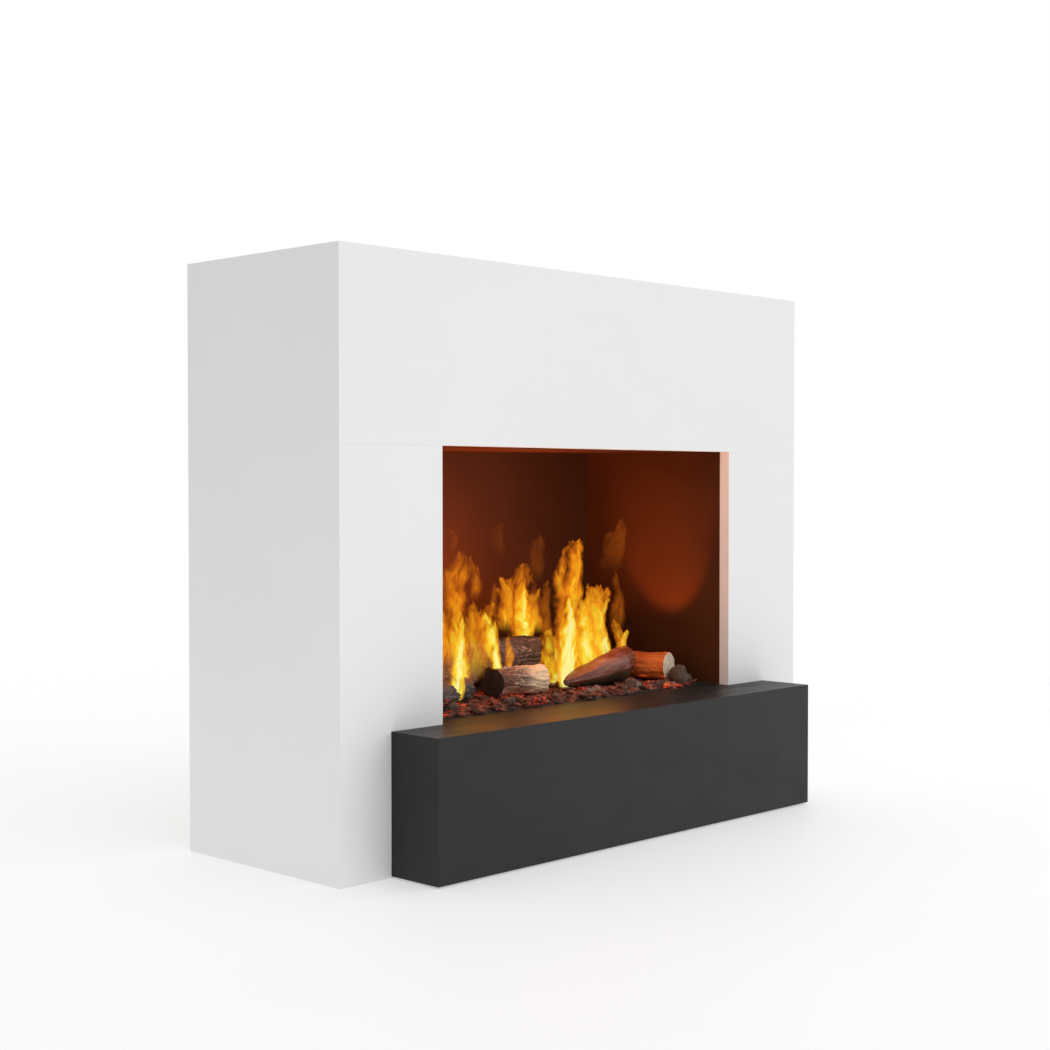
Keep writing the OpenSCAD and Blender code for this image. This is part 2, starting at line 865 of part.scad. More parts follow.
module mist_fan_rotor() {
    blade_y0 = fan_y0 + 2;
    blade_y1 = fan_y1 - 4.5;
    color("dimgray") {
        rod_y(fan_hub_r + 0.5, 0, blade_y0, blade_y1, fan_z);
        rod_y(fan_pin_r, 0, blade_y1 - 1, fan_y1 - 0.5, fan_z);
        intersection() {
            rod_y(fan_bore_r - 1, 0, blade_y0, blade_y1, fan_z);
            for (blade = [0:mist_fan_blades - 1])
                translate([0, (blade_y0 + blade_y1) / 2, fan_z])
                    rotate([0, blade * 360 / mist_fan_blades, 0])
                        translate([fan_hub_r, 0, 0]) rotate([40, 0, 0])
                            block([-2, -9, -0.7], [fan_bore_r, 9, 0.7]);
        }
    }
}

lamp_positions = [for (side = [-1, 1], i = [0:2]) side * (lamp_first_x + i * lamp_pitch)];

// Two steel bridges on legs, with a socket hole for each lamp
module lamp_rail() {
    x0 = lamp_first_x - 27;
    x1 = lamp_first_x + 2 * lamp_pitch + 45;
    y0 = lamp_y - 13;
    y1 = lamp_y + 13;
    floor_z = tray_z + sheet_t + fit;
    color("silver") difference() {
        on_both_sides() {
            block([x0, y0, lamp_z - 2], [x1, y1, lamp_z]);
            for (x = [x0, x1 - 2]) block([x, y0, floor_z], [x + 2, y1, lamp_z]);
        }
        for (x = lamp_positions) rod_z(6.2, x, lamp_y, lamp_z - 3, lamp_z + through);
    }
}

// Reflector lamps that point up into the ember bed
module flame_lamps() {
    color("orange") for (x = lamp_positions) {
        rod_z(6, x, lamp_y, lamp_z - 22, lamp_z + 12);
        translate([x, lamp_y, lamp_z + 12]) cylinder(r1 = 7, r2 = 17, h = 26);
        rod_z(17.5, x, lamp_y, lamp_z + 38, lamp_z + 42);
        rod_z(9, x, lamp_y, lamp_z + 0.2, lamp_z + 12.1);
    }
}

module driver_box() {
    low = [-345, -222, tray_z + sheet_t + fit];
    high = [-195, -122, 84];
    wall = [2, 2, 2];
    color("gray") {
        difference() {
            block(low, high);
            block(low + wall, high - wall);
            for (i = [0:7])
                block([low[0] + 20 + i * 15, low[1] + 20, high[2] - 4],
                    [low[0] + 24 + i * 15, high[1] - 20, high[2] + through]);
        }
    }
}

// Seat that the tank's valve opens in, with a feed pipe to the basin
module tank_dock() {
    pipe_y0 = basin_y + basin_d - plastic_t;
    dock_y0 = tank_y - tank_d / 2;
    dock_y1 = tank_y + tank_d / 2;
    color("dimgray") {
        difference() {
            block([-120, dock_y0, tray_z + sheet_t + fit], [120, dock_y1, tank_z - 0.3]);
            rod_z(cap_r + 3, 0, tank_y, cap_z - 5, tank_z + through);
            rod_y(6, 60, dock_y0 - through, tank_y, 42);
            block([0, tank_y - 6, cap_z - 2], [66, tank_y, cap_z + 12]);
        }
        difference() {
            rod_y(8, 60, pipe_y0, dock_y0 + 0.5, 42);
            rod_y(6, 60, pipe_y0 - through, dock_y0 + 2, 42);
        }
    }
}

// ---- water tank ----

module water_tank() {
    t = plastic_t;
    inner_y0 = tank_y - tank_d / 2 + t;
    inner_y1 = tank_y + tank_d / 2 - t;
    color("lightsteelblue") difference() {
        union() {
            translate([0, tank_y, tank_z]) linear_extrude(tank_top - tank_z)
                rounded_rect(2 * tank_half_w, tank_d, tank_r);
            rod_z(neck_r, 0, tank_y, tank_z - 15, tank_z + 1);
        }
        translate([0, tank_y, tank_z + t]) linear_extrude(recess_z - tank_z - 2 * t)
            rounded_rect(2 * (tank_half_w - t), tank_d - 2 * t, tank_r - t);
        on_both_sides()
            block([recess_half_w + 5, inner_y0 + t, recess_z - t - 1],
                [tank_half_w - 8, inner_y1 - t, tank_top - t]);
        rod_z(neck_r - 5, 0, tank_y, tank_z - 16, tank_z + 2 * t);
        block([-recess_half_w, tank_y - recess_half_d, recess_z],
            [recess_half_w, tank_y + recess_half_d, tank_top + 1]);
        rod_x(handle_pin_r + running_fit, -recess_half_w - 4.6, recess_half_w + 4.6,
            handle_pivot_y, handle_z);
    }
}

// Quarter-turn cap with grip grooves round its rim and the valve's hole in its middle
module tank_cap() {
    color("steelblue") difference() {
        rod_z(cap_r, 0, tank_y, cap_z, tank_z - 3);
        rod_z(neck_r + 0.1, 0, tank_y, tank_z - 15.5, tank_z);
        rod_z(3, 0, tank_y, cap_z - 1, tank_z);
        for (a = [0:30:330])
            translate([0, tank_y, cap_z]) rotate([0, 0, a]) translate([cap_r + 1, 0, 4])
                cylinder(r = 2.5, h = 30, $fn = 24);
    }
}

// Bail that lies in the tank's top and swings up
module tank_handle() {
    arm_x = recess_half_w - 5;
    arm_l = 36;
    bar = 3;
    color("steelblue") {
        on_both_sides()
            rod_x(handle_pin_r, arm_x - 1, recess_half_w + 4.2, handle_pivot_y, handle_z);
        on_both_sides()
            block([arm_x - 3, handle_pivot_y - bar, handle_z - bar],
                [arm_x + 3, handle_pivot_y + arm_l, handle_z + bar]);
        rod_x(4.5, -arm_x - 3, arm_x + 3, handle_pivot_y + arm_l, handle_z);
    }
}

// ---- log bed ----

module ember_tray() {
    pan_t = 1.5;
    rim_z = hearth_h + fit;
    x1 = bed_w / 2 - bed_flange;
    y0 = bed_y + bed_flange;
    y1 = bed_y + bed_d - bed_flange;
    color("black") difference() {
        union() {
            block([-bed_w / 2, bed_y, rim_z], [bed_w / 2, bed_y + bed_d, rim_z + pan_t]);
            block([-x1, y0, pan_z], [x1, y1, rim_z + 1]);
        }
        block([-x1 + pan_t, y0 + pan_t, pan_z + pan_t], [x1 - pan_t, y1 - pan_t, rim_z + 3]);
        block([-mist_slot_half_l, mist_slot_y, pan_z - through],
            [mist_slot_half_l, mist_slot_y + mist_slot_w, pan_z + 3]);
        for (x = lamp_positions) rod_z(16, x, lamp_y, pan_z - through, pan_z + 3);
    }
}

// Loose lumps on the bed: x, y and radius
stones = [[322, -78, 17], [172, -76, 13], [-60, -84, 10], [110, -84, 9], [250, -84, 8],
    [-170, -80, 11], [-290, -78, 12], [30, -82, 8], [215, 86, 14], [300, 92, 12],
    [150, 90, 11], [-120, -86, 7]];

// Slab of embers in the pan and over its rim, with a mound, loose lumps and the mist slot
module ember_bed() {
    inset = bed_flange + 2.5;
    rim_z = hearth_h + fit + 1.8;
    color("firebrick") {
        difference() {
            union() {
                block([-bed_w / 2 + inset, bed_y + inset, pan_z + 1.7],
                    [bed_w / 2 - inset, bed_y + bed_d - inset, rim_z + 1]);
                block([-bed_w / 2 + 1, bed_y + 1, rim_z],
                    [bed_w / 2 - 1, bed_y + bed_d - 1, bed_top]);
            }
            block([-mist_slot_half_l, mist_slot_y, pan_z],
                [mist_slot_half_l, mist_slot_y + mist_slot_w, bed_top + 1]);
        }
        block([-300, mound_y, bed_top - 1], [60, bed_y + bed_d - 3, mound_top]);
        for (s = stones) translate([s[0], s[1], bed_top + s[2] - 1]) sphere(r = s[2]);
    }
}

log_base = bed_top + 0.4;

// Split log with a rough squared section, laid along the back of the bed
module log_rear() {
    z = mound_top + 0.3;
    color("sienna")
        prism_x([[40, z + 10], [46, z + 2], [70, z], [98, z + 4], [106, z + 14], [108, z + 50],
            [100, z + 66], [80, z + 74], [52, z + 75], [42, z + 66]], -288, 47);
}

module log_front() {
    r = 29;
    color("peru") log_between([-136, 6, log_base + r], [-10, -18, log_base + r], r, r - 1);
}

// Tapering limb that rises to the right
module log_centre() {
    color("rosybrown")
        log_between([48, -24, log_base + 16], [230, -18, log_base + 36], 14, 31);
}

module log_right() {
    r = 29;
    color("chocolate") log_between([309, -58, log_base + r], [274, 62, log_base + r], r, r - 2);
}

module log_left() {
    r = 25;
    color("sienna") log_between([-322, -48, log_base + r], [-200, -6, log_base + r], r - 2, r);
}

side_panel_left();
side_panel_right();
pilaster_left();
pilaster_right();
lintel_panel();
top_panel();
base_board();
partition_left();
partition_right();
ceiling_shelf();
rear_frame();
back_cover();
back_cover_screws();
firebox_back();
firebox_side_left();
firebox_side_right();
firebox_ceiling();
wall_brackets();
runner_outer_rails();
heater_casing();
heater_element();
heater_grille();
heater_motor();
control_fascia();
control_housing();
control_board();
mains_gland();
heater_impeller();
heater_shaft();
power_rocker();
flame_knob();
heat_button();
glow_button();
runner_middle_rails();
hearth_top();
hearth_front();
hearth_end_left();
hearth_end_right();
drawer_tray();
deck_plate();
runner_inner_rails();
mist_basin();
ultrasonic_units();
mist_duct();
mist_fan_frame();
lamp_rail();
flame_lamps();
driver_box();
tank_dock();
mist_fan_rotor();
water_tank();
tank_cap();
tank_handle();
ember_tray();
ember_bed();
log_rear();
log_front();
log_centre();
log_right();
log_left();
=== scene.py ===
"""Looks of the electric fireplace: lacquered surround, satin black hearth, firebox, log bed and
mist flames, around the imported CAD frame. Metres; -Y is the room's side and +Z is up."""
import json
import math
import random

import bmesh
import bpy
from mathutils import Matrix, Vector, noise


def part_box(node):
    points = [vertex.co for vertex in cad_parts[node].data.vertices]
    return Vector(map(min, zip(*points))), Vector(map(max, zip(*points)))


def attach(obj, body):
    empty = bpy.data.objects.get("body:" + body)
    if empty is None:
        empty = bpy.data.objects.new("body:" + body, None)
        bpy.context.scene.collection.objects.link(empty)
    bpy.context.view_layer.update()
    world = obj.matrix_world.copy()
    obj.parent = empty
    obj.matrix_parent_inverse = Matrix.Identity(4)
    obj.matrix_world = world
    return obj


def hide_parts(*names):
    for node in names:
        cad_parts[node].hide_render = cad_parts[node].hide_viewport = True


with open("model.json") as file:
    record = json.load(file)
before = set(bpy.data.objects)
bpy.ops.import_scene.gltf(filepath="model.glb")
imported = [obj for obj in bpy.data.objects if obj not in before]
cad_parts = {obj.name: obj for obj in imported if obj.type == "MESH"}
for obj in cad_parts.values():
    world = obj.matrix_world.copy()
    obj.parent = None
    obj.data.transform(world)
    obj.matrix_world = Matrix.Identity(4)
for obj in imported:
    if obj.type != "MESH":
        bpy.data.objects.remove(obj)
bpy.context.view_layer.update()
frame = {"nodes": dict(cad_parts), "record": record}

# ---- camera, stage and studio light ----

# Dome light: its level, and how it grows per unit along +X, +Y and +Z
DOME_LEVEL = 0.81
DOME_SLOPE = (0.19, -0.15, 0.22)

CAMERA_AT = Vector((-2.280, -2.172, 0.626))
CAMERA_HEADING = math.radians(45.885)
CAMERA_TILT_DOWN = math.radians(1.358)
CAMERA_LENS_MM = 58.32

scene = bpy.context.scene
scene.view_settings.view_transform = "Standard"


def make_camera():
    data = bpy.data.cameras.new("camera")
    data.lens = CAMERA_LENS_MM
    camera = bpy.data.objects.new("camera", data)
    camera.location = CAMERA_AT
    camera.rotation_euler = (math.pi / 2 - CAMERA_TILT_DOWN, 0, -CAMERA_HEADING)
    scene.collection.objects.link(camera)
    scene.camera = camera


def fire_lamp(name, kind, at, power, colour, aim=(0, 0, 1), **settings):
    """A lamp of the fire's colour that is not itself seen; polished faces mirror the round ones."""
    data = bpy.data.lights.new(name, kind)
    data.energy = power
    data.color = colour
    for key, value in settings.items():
        setattr(data, key, value)
    lamp = bpy.data.objects.new(name, data)
    lamp.location = at
    lamp.rotation_euler = Vector(aim).to_track_quat("-Z", "Y").to_euler()
    lamp.visible_camera = False
    lamp.visible_glossy = kind == "POINT"
    scene.collection.objects.link(lamp)


def make_world():
    """White backdrop; as a light it is brighter from above and from the front right."""
    world = bpy.data.worlds.new("studio")
    world.use_nodes = True
    tree = world.node_tree
    tree.nodes.clear()
    out = tree.nodes.new("ShaderNodeOutputWorld")
    mix = tree.nodes.new("ShaderNodeMixShader")
    path = tree.nodes.new("ShaderNodeLightPath")
    direction = tree.nodes.new("ShaderNodeTexCoord")
    slope = tree.nodes.new("ShaderNodeVectorMath")
    slope.operation = "DOT_PRODUCT"
    slope.inputs[1].default_value = DOME_SLOPE
    level = tree.nodes.new("ShaderNodeMath")
    level.inputs[1].default_value = DOME_LEVEL
    lit = tree.nodes.new("ShaderNodeBackground")
    seen = tree.nodes.new("ShaderNodeBackground")
    tree.links.new(direction.outputs["Generated"], slope.inputs[0])
    tree.links.new(slope.outputs["Value"], level.inputs[0])
    tree.links.new(level.outputs[0], lit.inputs["Strength"])
    for background in (lit, seen):
        background.inputs["Color"].default_value = (1, 1, 1, 1)
    tree.links.new(path.outputs["Is Camera Ray"], mix.inputs["Fac"])
    tree.links.new(lit.outputs[0], mix.inputs[1])
    tree.links.new(seen.outputs[0], mix.inputs[2])
    tree.links.new(mix.outputs[0], out.inputs["Surface"])
    scene.world = world


# ---- node materials ----


class Look:
    """A Principled material, with short calls for the procedural nodes that drive it."""

    def __init__(self, name, **sockets):
        self.material = bpy.data.materials.new(name)
        self.material.use_nodes = True
        self.tree = self.material.node_tree
        self.shader = self.tree.nodes["Principled BSDF"]
        self.coords = self.tree.nodes.new("ShaderNodeTexCoord").outputs["Object"]
        for socket, value in sockets.items():
            self.shader.inputs[socket.replace("_", " ")].default_value = value

    def set(self, socket, value):
        self.tree.links.new(value, self.shader.inputs[socket])

    def add(self, kind, **settings):
        node = self.tree.nodes.new(kind)
        for key, value in settings.items():
            setattr(node, key, value)
        return node

    def stretched(self, scale, turn=(0, 0, 0)):
        """Object coordinates, turned and scaled."""
        node = self.add("ShaderNodeMapping")
        node.inputs["Scale"].default_value = scale
        node.inputs["Rotation"].default_value = turn
        self.tree.links.new(self.coords, node.inputs["Vector"])
        return node.outputs["Vector"]

    def noise(self, scale, detail=4.0, roughness=0.55, distortion=0.0, vector=None):
        node = self.add("ShaderNodeTexNoise")
        node.inputs["Scale"].default_value = scale
        node.inputs["Detail"].default_value = detail
        node.inputs["Roughness"].default_value = roughness
        node.inputs["Distortion"].default_value = distortion
        self.tree.links.new(vector or self.coords, node.inputs["Vector"])
        return node.outputs["Fac"]

    def cells(self, scale, feature="F1", vector=None, output="Distance"):
        node = self.add("ShaderNodeTexVoronoi", feature=feature)
        node.inputs["Scale"].default_value = scale
        self.tree.links.new(vector or self.coords, node.inputs["Vector"])
        return node.outputs[output]

    def attribute(self, name, output="Fac"):
        node = self.add("ShaderNodeAttribute", attribute_name=name)
        return node.outputs[output]

    def split(self, vector):
        node = self.add("ShaderNodeSeparateXYZ")
        self.tree.links.new(vector, node.inputs[0])
        return node.outputs

    def math(self, operation, a, b=0.0, clamp=False):
        node = self.add("ShaderNodeMath", operation=operation, use_clamp=clamp)
        for socket, value in zip(node.inputs, (a, b)):
            if isinstance(value, (int, float)):
                socket.default_value = value
            else:
                self.tree.links.new(value, socket)
        return node.outputs[0]

    def fit(self, value, low, high, to_low=0.0, to_high=1.0, smooth=False):
        node = self.add("ShaderNodeMapRange")
        if smooth:
            node.interpolation_type = "SMOOTHSTEP"
        for socket, number in zip(node.inputs[1:5], (low, high, to_low, to_high)):
            socket.default_value = number
        self.tree.links.new(value, node.inputs[0])
        return node.outputs[0]

    def ramp(self, value, *stops):
        """Colour ramp; each stop is (position, colour)."""
        node = self.add("ShaderNodeValToRGB")
        ramp = node.color_ramp
        while len(ramp.elements) < len(stops):
            ramp.elements.new(1.0)
        for element, (position, colour) in zip(ramp.elements, stops):
            element.position = position
            element.color = (*colour, 1)
        self.tree.links.new(value, node.inputs["Fac"])
        return node.outputs["Color"]

    def mix(self, factor, a, b):
        node = self.add("ShaderNodeMix", data_type="RGBA")
        for socket, value in zip((node.inputs[0], node.inputs[6], node.inputs[7]), (factor, a, b)):
            if isinstance(value, tuple):
                socket.default_value = (*value, 1)
            elif isinstance(value, (int, float)):
                socket.default_value = value
            else:
                self.tree.links.new(value, socket)
        return node.outputs[2]

    def bump(self, height, depth, strength=1.0, below=None):
        """Bump of a depth in metres, over another bump if one is given."""
        node = self.add("ShaderNodeBump")
        node.inputs["Strength"].default_value = strength
        node.inputs["Distance"].default_value = depth
        self.tree.links.new(height, node.inputs["Height"])
        if below is not None:
            self.tree.links.new(below, node.inputs["Normal"])
        self.tree.links.new(node.outputs["Normal"], self.shader.inputs["Normal"])
        return node.outputs["Normal"]


def coated(name, dark, light, patch, grain, grain_depth, gloss, **sockets):
    """Paint, lacquer or moulded plastic: faint patches, a fine surface grain, uneven gloss."""
    look = Look(name, **sockets)
    patches = look.noise(patch, 5)
    look.set("Base Color", look.ramp(patches, (0.3, dark), (0.7, light)))
    fine = look.noise(grain, 3)
    look.set("Roughness", look.fit(look.noise(patch * 3.1, 6), 0.3, 0.7, *gloss))
    look.bump(fine, grain_depth)
    return look


def white_lacquer():
    return coated("white_lacquer", (0.835, 0.835, 0.83), (0.86, 0.86, 0.858), 2.3, 650, 0.00004,
                  (0.42, 0.52))


def hearth_lacquer():
    """Satin black with a fine grain, and the faint smears that a dark lacquer shows."""
    look = Look("hearth_lacquer", Specular_IOR_Level=0.28)
    patches = look.noise(2.2, 6, 0.6)
    look.set("Base Color", look.ramp(patches, (0.3, (0.0125, 0.0128, 0.012)),
                                     (0.72, (0.0175, 0.0178, 0.0168))))
    smears = look.noise(7, 5, 0.6, 1.5, look.stretched((0.5, 1.4, 1.0)))
    look.set("Roughness", look.fit(smears, 0.3, 0.75, 0.40, 0.56))
    look.bump(look.noise(1500, 2), 0.00006, 0.8)
    return look


def firebox_paint():
    """Heat-proof paint over rolled sheet: brown-black, with soot and faint waves."""
    look = Look("firebox_paint", Specular_IOR_Level=0.12)
    patches = look.noise(5, 7, 0.62, 0.6)
    soot = look.noise(1.7, 3)
    base = look.ramp(patches, (0.25, (0.064, 0.02, 0.007)), (0.75, (0.088, 0.029, 0.01)))
    look.set("Base Color", look.mix(look.fit(soot, 0.45, 0.75, 0, 0.45), base, (0.042, 0.015, 0.006)))
    look.set("Roughness", look.fit(patches, 0.3, 0.7, 0.48, 0.66))
    grain = look.bump(look.noise(1100, 2), 0.00005, 0.8)
    look.bump(look.noise(6, 2), 0.0012, 0.35, grain)
    return look


def particle_board():
    """Pressed chips of several tones."""
    look = Look("particle_board", Roughness=0.82)
    chips = look.cells(260, output="Color", vector=look.stretched((1, 0.55, 0.45), (0.4, 0.3, 0.8)))
    tone = look.split(chips)[0]
    big = look.noise(14, 4)
    base = look.ramp(tone, (0.0, (0.28, 0.17, 0.09)), (0.35, (0.5, 0.35, 0.2)), (0.7, (0.62, 0.46, 0.28)),
                     (1.0, (0.74, 0.59, 0.39)))
    look.set("Base Color", look.mix(look.fit(big, 0.3, 0.7, 0.0, 0.3), base, (0.42, 0.29, 0.17)))
    look.bump(tone, 0.0002, 0.5)
    return look


def hardboard():
    """Brown pressed fibre with a smooth face."""
    look = Look("hardboard")
    fibres = look.noise(170, 7, 0.7, 2.5)
    look.set("Base Color", look.ramp(fibres, (0.3, (0.16, 0.095, 0.05)), (0.55, (0.27, 0.165, 0.09)),
                                     (0.75, (0.36, 0.24, 0.14))))
    look.set("Roughness", look.fit(fibres, 0.3, 0.7, 0.5, 0.72))
    look.bump(look.noise(900, 3), 0.00008, 0.7)
    return look


def zinc_plate():
    """Zinc spangle over rolled sheet, with fine drawing lines."""
    look = Look("zinc_plate", Metallic=1.0)
    spangle = look.split(look.cells(70, output="Color"))[0]
    lines = look.noise(45, 3, 0.6, 0, look.stretched((1, 1, 40)))
    tone = look.math("ADD", look.math("MULTIPLY", spangle, 0.5), look.math("MULTIPLY", lines, 0.5))
    look.set("Base Color", look.ramp(tone, (0.2, (0.46, 0.47, 0.48)), (0.8, (0.68, 0.69, 0.69))))
    look.set("Roughness", look.fit(tone, 0.2, 0.8, 0.44, 0.28))
    look.bump(lines, 0.00003, 0.6)
    return look


def spun_metal():
    look = Look("spun_metal", Metallic=1.0)
    rings = look.noise(900, 2, 0.5, 0, look.stretched((0.05, 1, 1)))
    look.set("Base Color", look.ramp(rings, (0.3, (0.5, 0.5, 0.5)), (0.7, (0.66, 0.66, 0.65))))
    look.set("Roughness", look.fit(rings, 0.3, 0.7, 0.22, 0.36))
    look.bump(rings, 0.00004, 0.6)
    return look


def bare_aluminium():
    look = Look("bare_aluminium", Metallic=1.0)
    lines = look.noise(60, 4, 0.6, 0, look.stretched((20, 1, 1)))
    tarnish = look.noise(30, 4)
    base = look.ramp(lines, (0.3, (0.62, 0.63, 0.65)), (0.7, (0.8, 0.8, 0.8)))
    look.set("Base Color", look.mix(look.fit(tarnish, 0.5, 0.8, 0, 0.5), base, (0.5, 0.42, 0.34)))
    look.set("Roughness", look.fit(lines, 0.3, 0.7, 0.3, 0.45))
    look.bump(lines, 0.00003, 0.5)
    return look


def circuit_board():
    """Green solder mask with copper tracks under it."""
    look = Look("circuit_board", Roughness=0.35)
    tracks = look.cells(160, "DISTANCE_TO_EDGE")
    on_track = look.fit(tracks, 0.05, 0.09)
    base = look.mix(on_track, (0.06, 0.3, 0.12), (0.012, 0.1, 0.04))
    look.set("Base Color", look.mix(look.fit(look.noise(90, 3), 0.4, 0.7), base, (0.02, 0.16, 0.06)))
    look.bump(on_track, 0.00005, 0.6)
    return look


def plated_brass():
    look = Look("plated_brass", Metallic=1.0)
    stains = look.noise(60, 5, 0.6, 0.8)
    look.set("Base Color", look.ramp(stains, (0.3, (0.5, 0.33, 0.14)), (0.7, (0.78, 0.6, 0.3))))
    look.set("Roughness", look.fit(stains, 0.3, 0.7, 0.5, 0.24))
    look.bump(look.noise(800, 2), 0.00003, 0.5)
    return look


def lamp_lens():
    """Amber lens with fine prisms, lit from inside."""
    look = Look("lamp_lens", Roughness=0.2)
    prisms = look.cells(420, "SMOOTH_F1")
    look.set("Base Color", look.ramp(prisms, (0.1, (0.8, 0.3, 0.05)), (0.6, (1.0, 0.55, 0.18))))
    look.set("Emission Color", look.ramp(prisms, (0.1, (1.0, 0.32, 0.05)), (0.7, (1.0, 0.6, 0.2))))
    look.set("Emission Strength", look.fit(prisms, 0.1, 0.7, 2.2, 1.2))
    look.bump(prisms, 0.0003, 0.7)
    return look


def tank_plastic():
    """Translucent moulded plastic, cloudy in patches."""
    look = Look("tank_plastic", Transmission_Weight=0.45, IOR=1.45)
    cloud = look.noise(11, 4)
    look.set("Base Color", look.ramp(cloud, (0.3, (0.42, 0.55, 0.64)), (0.7, (0.6, 0.7, 0.76))))
    look.set("Roughness", look.fit(cloud, 0.3, 0.7, 0.22, 0.36))
    look.bump(look.noise(700, 2), 0.00005, 0.6)
    return look


LOOKS = {
    "white_lacquer": white_lacquer,
    "carcass_board": particle_board,
    "hardboard": hardboard,
    "hearth_lacquer": hearth_lacquer,
    "firebox_steel": firebox_paint,
    "black_steel": lambda: coated("black_powder_coat", (0.018, 0.018, 0.018), (0.032, 0.031, 0.03),
                                  9, 1300, 0.00012, (0.42, 0.6)),
    "zinc_steel": zinc_plate,
    "element_aluminium": bare_aluminium,
    "motor_grey": lambda: coated("motor_paint", (0.14, 0.14, 0.15), (0.19, 0.19, 0.2),
                                 20, 900, 0.0001, (0.35, 0.5)),
    "black_plastic": lambda: coated("black_moulding", (0.02, 0.02, 0.022), (0.034, 0.034, 0.036),
                                    12, 1600, 0.00009, (0.4, 0.58)),
    "grey_plastic": lambda: coated("grey_moulding", (0.2, 0.2, 0.21), (0.27, 0.27, 0.28),
                                   12, 1500, 0.00008, (0.42, 0.58)),
    "button_plastic": lambda: coated("button_moulding", (0.09, 0.09, 0.095), (0.13, 0.13, 0.135),
                                     40, 2000, 0.00004, (0.26, 0.38)),
    "rocker_plastic": lambda: coated("rocker_moulding", (0.42, 0.02, 0.015), (0.56, 0.035, 0.025),
                                     40, 2000, 0.00003, (0.18, 0.3)),
    "knob_metal": spun_metal,
    "circuit_board": circuit_board,
    "basin_plastic": lambda: coated("basin_moulding", (0.62, 0.6, 0.54), (0.74, 0.72, 0.66),
                                    7, 1200, 0.00006, (0.35, 0.5)),
    "transducer_brass": plated_brass,
    "lamp_glass": lamp_lens,
    "tank_plastic": tank_plastic,
    "tank_trim": lambda: coated("tank_trim_moulding", (0.05, 0.13, 0.27), (0.08, 0.19, 0.36),
                                18, 1500, 0.00006, (0.28, 0.42)),
}

# Width of the softened edge on each kind of lacquered board
ARRIS = {"white_lacquer": 0.00015, "hearth_lacquer": 0.0006}


def dress_cad_nodes():
    """Gives each CAD node its slot's material, and the lacquered boards a softened arris."""
    made = {slot: build().material for slot, build in LOOKS.items()}
    for part in frame["record"]["subparts"]:
        node = frame["nodes"][part["node"]]
        slot = part["material_slot"]
        if slot not in made:
            continue
        node.data.materials.clear()
        node.data.materials.append(made[slot])
        if slot in ARRIS:
            weld = node.modifiers.new("weld", "WELD")
            weld.merge_threshold = 1e-6
            bevel = node.modifiers.new("arris", "BEVEL")
            bevel.width = ARRIS[slot]
            bevel.segments = 2
            bevel.angle_limit = math.radians(40)
            bevel.harden_normals = True


# ---- mesh helpers ----


def new_piece(name, mesh, body, materials, node=None):
    """Puts a smooth-shaded mesh into the scene on a body; it may stand for a CAD node."""
    piece = bpy.data.objects.new(name, mesh)
    for material in materials:
        mesh.materials.append(material)
    scene.collection.objects.link(piece)
    mesh.polygons.foreach_set("use_smooth", [True] * len(mesh.polygons))
    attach(piece, body)
    if node:
        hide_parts(node)
    return piece


def fractal(point, octaves=4):
    return noise.fractal(point, 1.0, 2.1, octaves, noise_basis="PERLIN_ORIGINAL")


def ridges(point, octaves=4):
    """0 in the furrows and 1 on the ridges."""
    return 1.0 - abs(fractal(point, octaves))


# ---- logs ----


def superellipse(angle, power):
    """Radius at an angle of a rounded square of half-width 1; power 2 is a circle."""
    c = abs(math.cos(angle)) ** power
    s = abs(math.sin(angle)) ** power
    return (c + s) ** (-1.0 / power)


def log_mesh(name, length, section, skin, end_skin, rings=110, around=96, cap_rings=7):
    """Log along +X from the origin. section(t, angle) is its radius, skin(x, angle) the bark's
    height, and end_skin(point) how far an end's face stands out. Slot 0 is bark, slot 1 the ends."""
    bm = bmesh.new()
    rows = []
    for i in range(rings + 1):
        t = i / rings
        row = []
        for k in range(around):
            angle = 2 * math.pi * k / around
            radius = section(t, angle) + skin(t * length, angle)
            row.append(bm.verts.new((t * length, radius * math.cos(angle), radius * math.sin(angle))))
        rows.append(row)
    for low, high in zip(rows, rows[1:]):
        for k in range(around):
            n = (k + 1) % around
            bm.faces.new((low[k], low[n], high[n], high[k])).material_index = 0
    for row, side in ((rows[0], -1), (rows[-1], 1)):
        outer = row
        for ring in range(1, cap_rings + 1):
            share = 1 - ring / cap_rings
            if ring == cap_rings:
                inner = [bm.verts.new((row[0].co.x, 0, 0))]
            else:
                inner = [bm.verts.new((v.co.x, v.co.y * share, v.co.z * share)) for v in row]
            for v in inner:
                v.co.x += side * end_skin(v.co)
            for k in range(around):
                n = (k + 1) % around
                if len(inner) == 1:
                    corners = [outer[k], outer[n], inner[0]]
                else:
                    corners = [outer[k], outer[n], inner[n], inner[k]]
                if side > 0:
                    corners.reverse()
                bm.faces.new(corners).material_index = 1
            outer = inner
    bmesh.ops.recalc_face_normals(bm, faces=bm.faces)
    mesh = bpy.data.meshes.new(name)
    bm.to_mesh(mesh)
    bm.free()
    return mesh


def place_along(piece, start, end, roll=0.0):
    """Puts a piece that was built along +X between two points."""
    axis = (end - start).normalized()
    turn = axis.to_track_quat("X", "Z").to_matrix().to_4x4()
    piece.matrix_world = Matrix.Translation(start) @ turn @ Matrix.Rotation(roll, 4, "X")


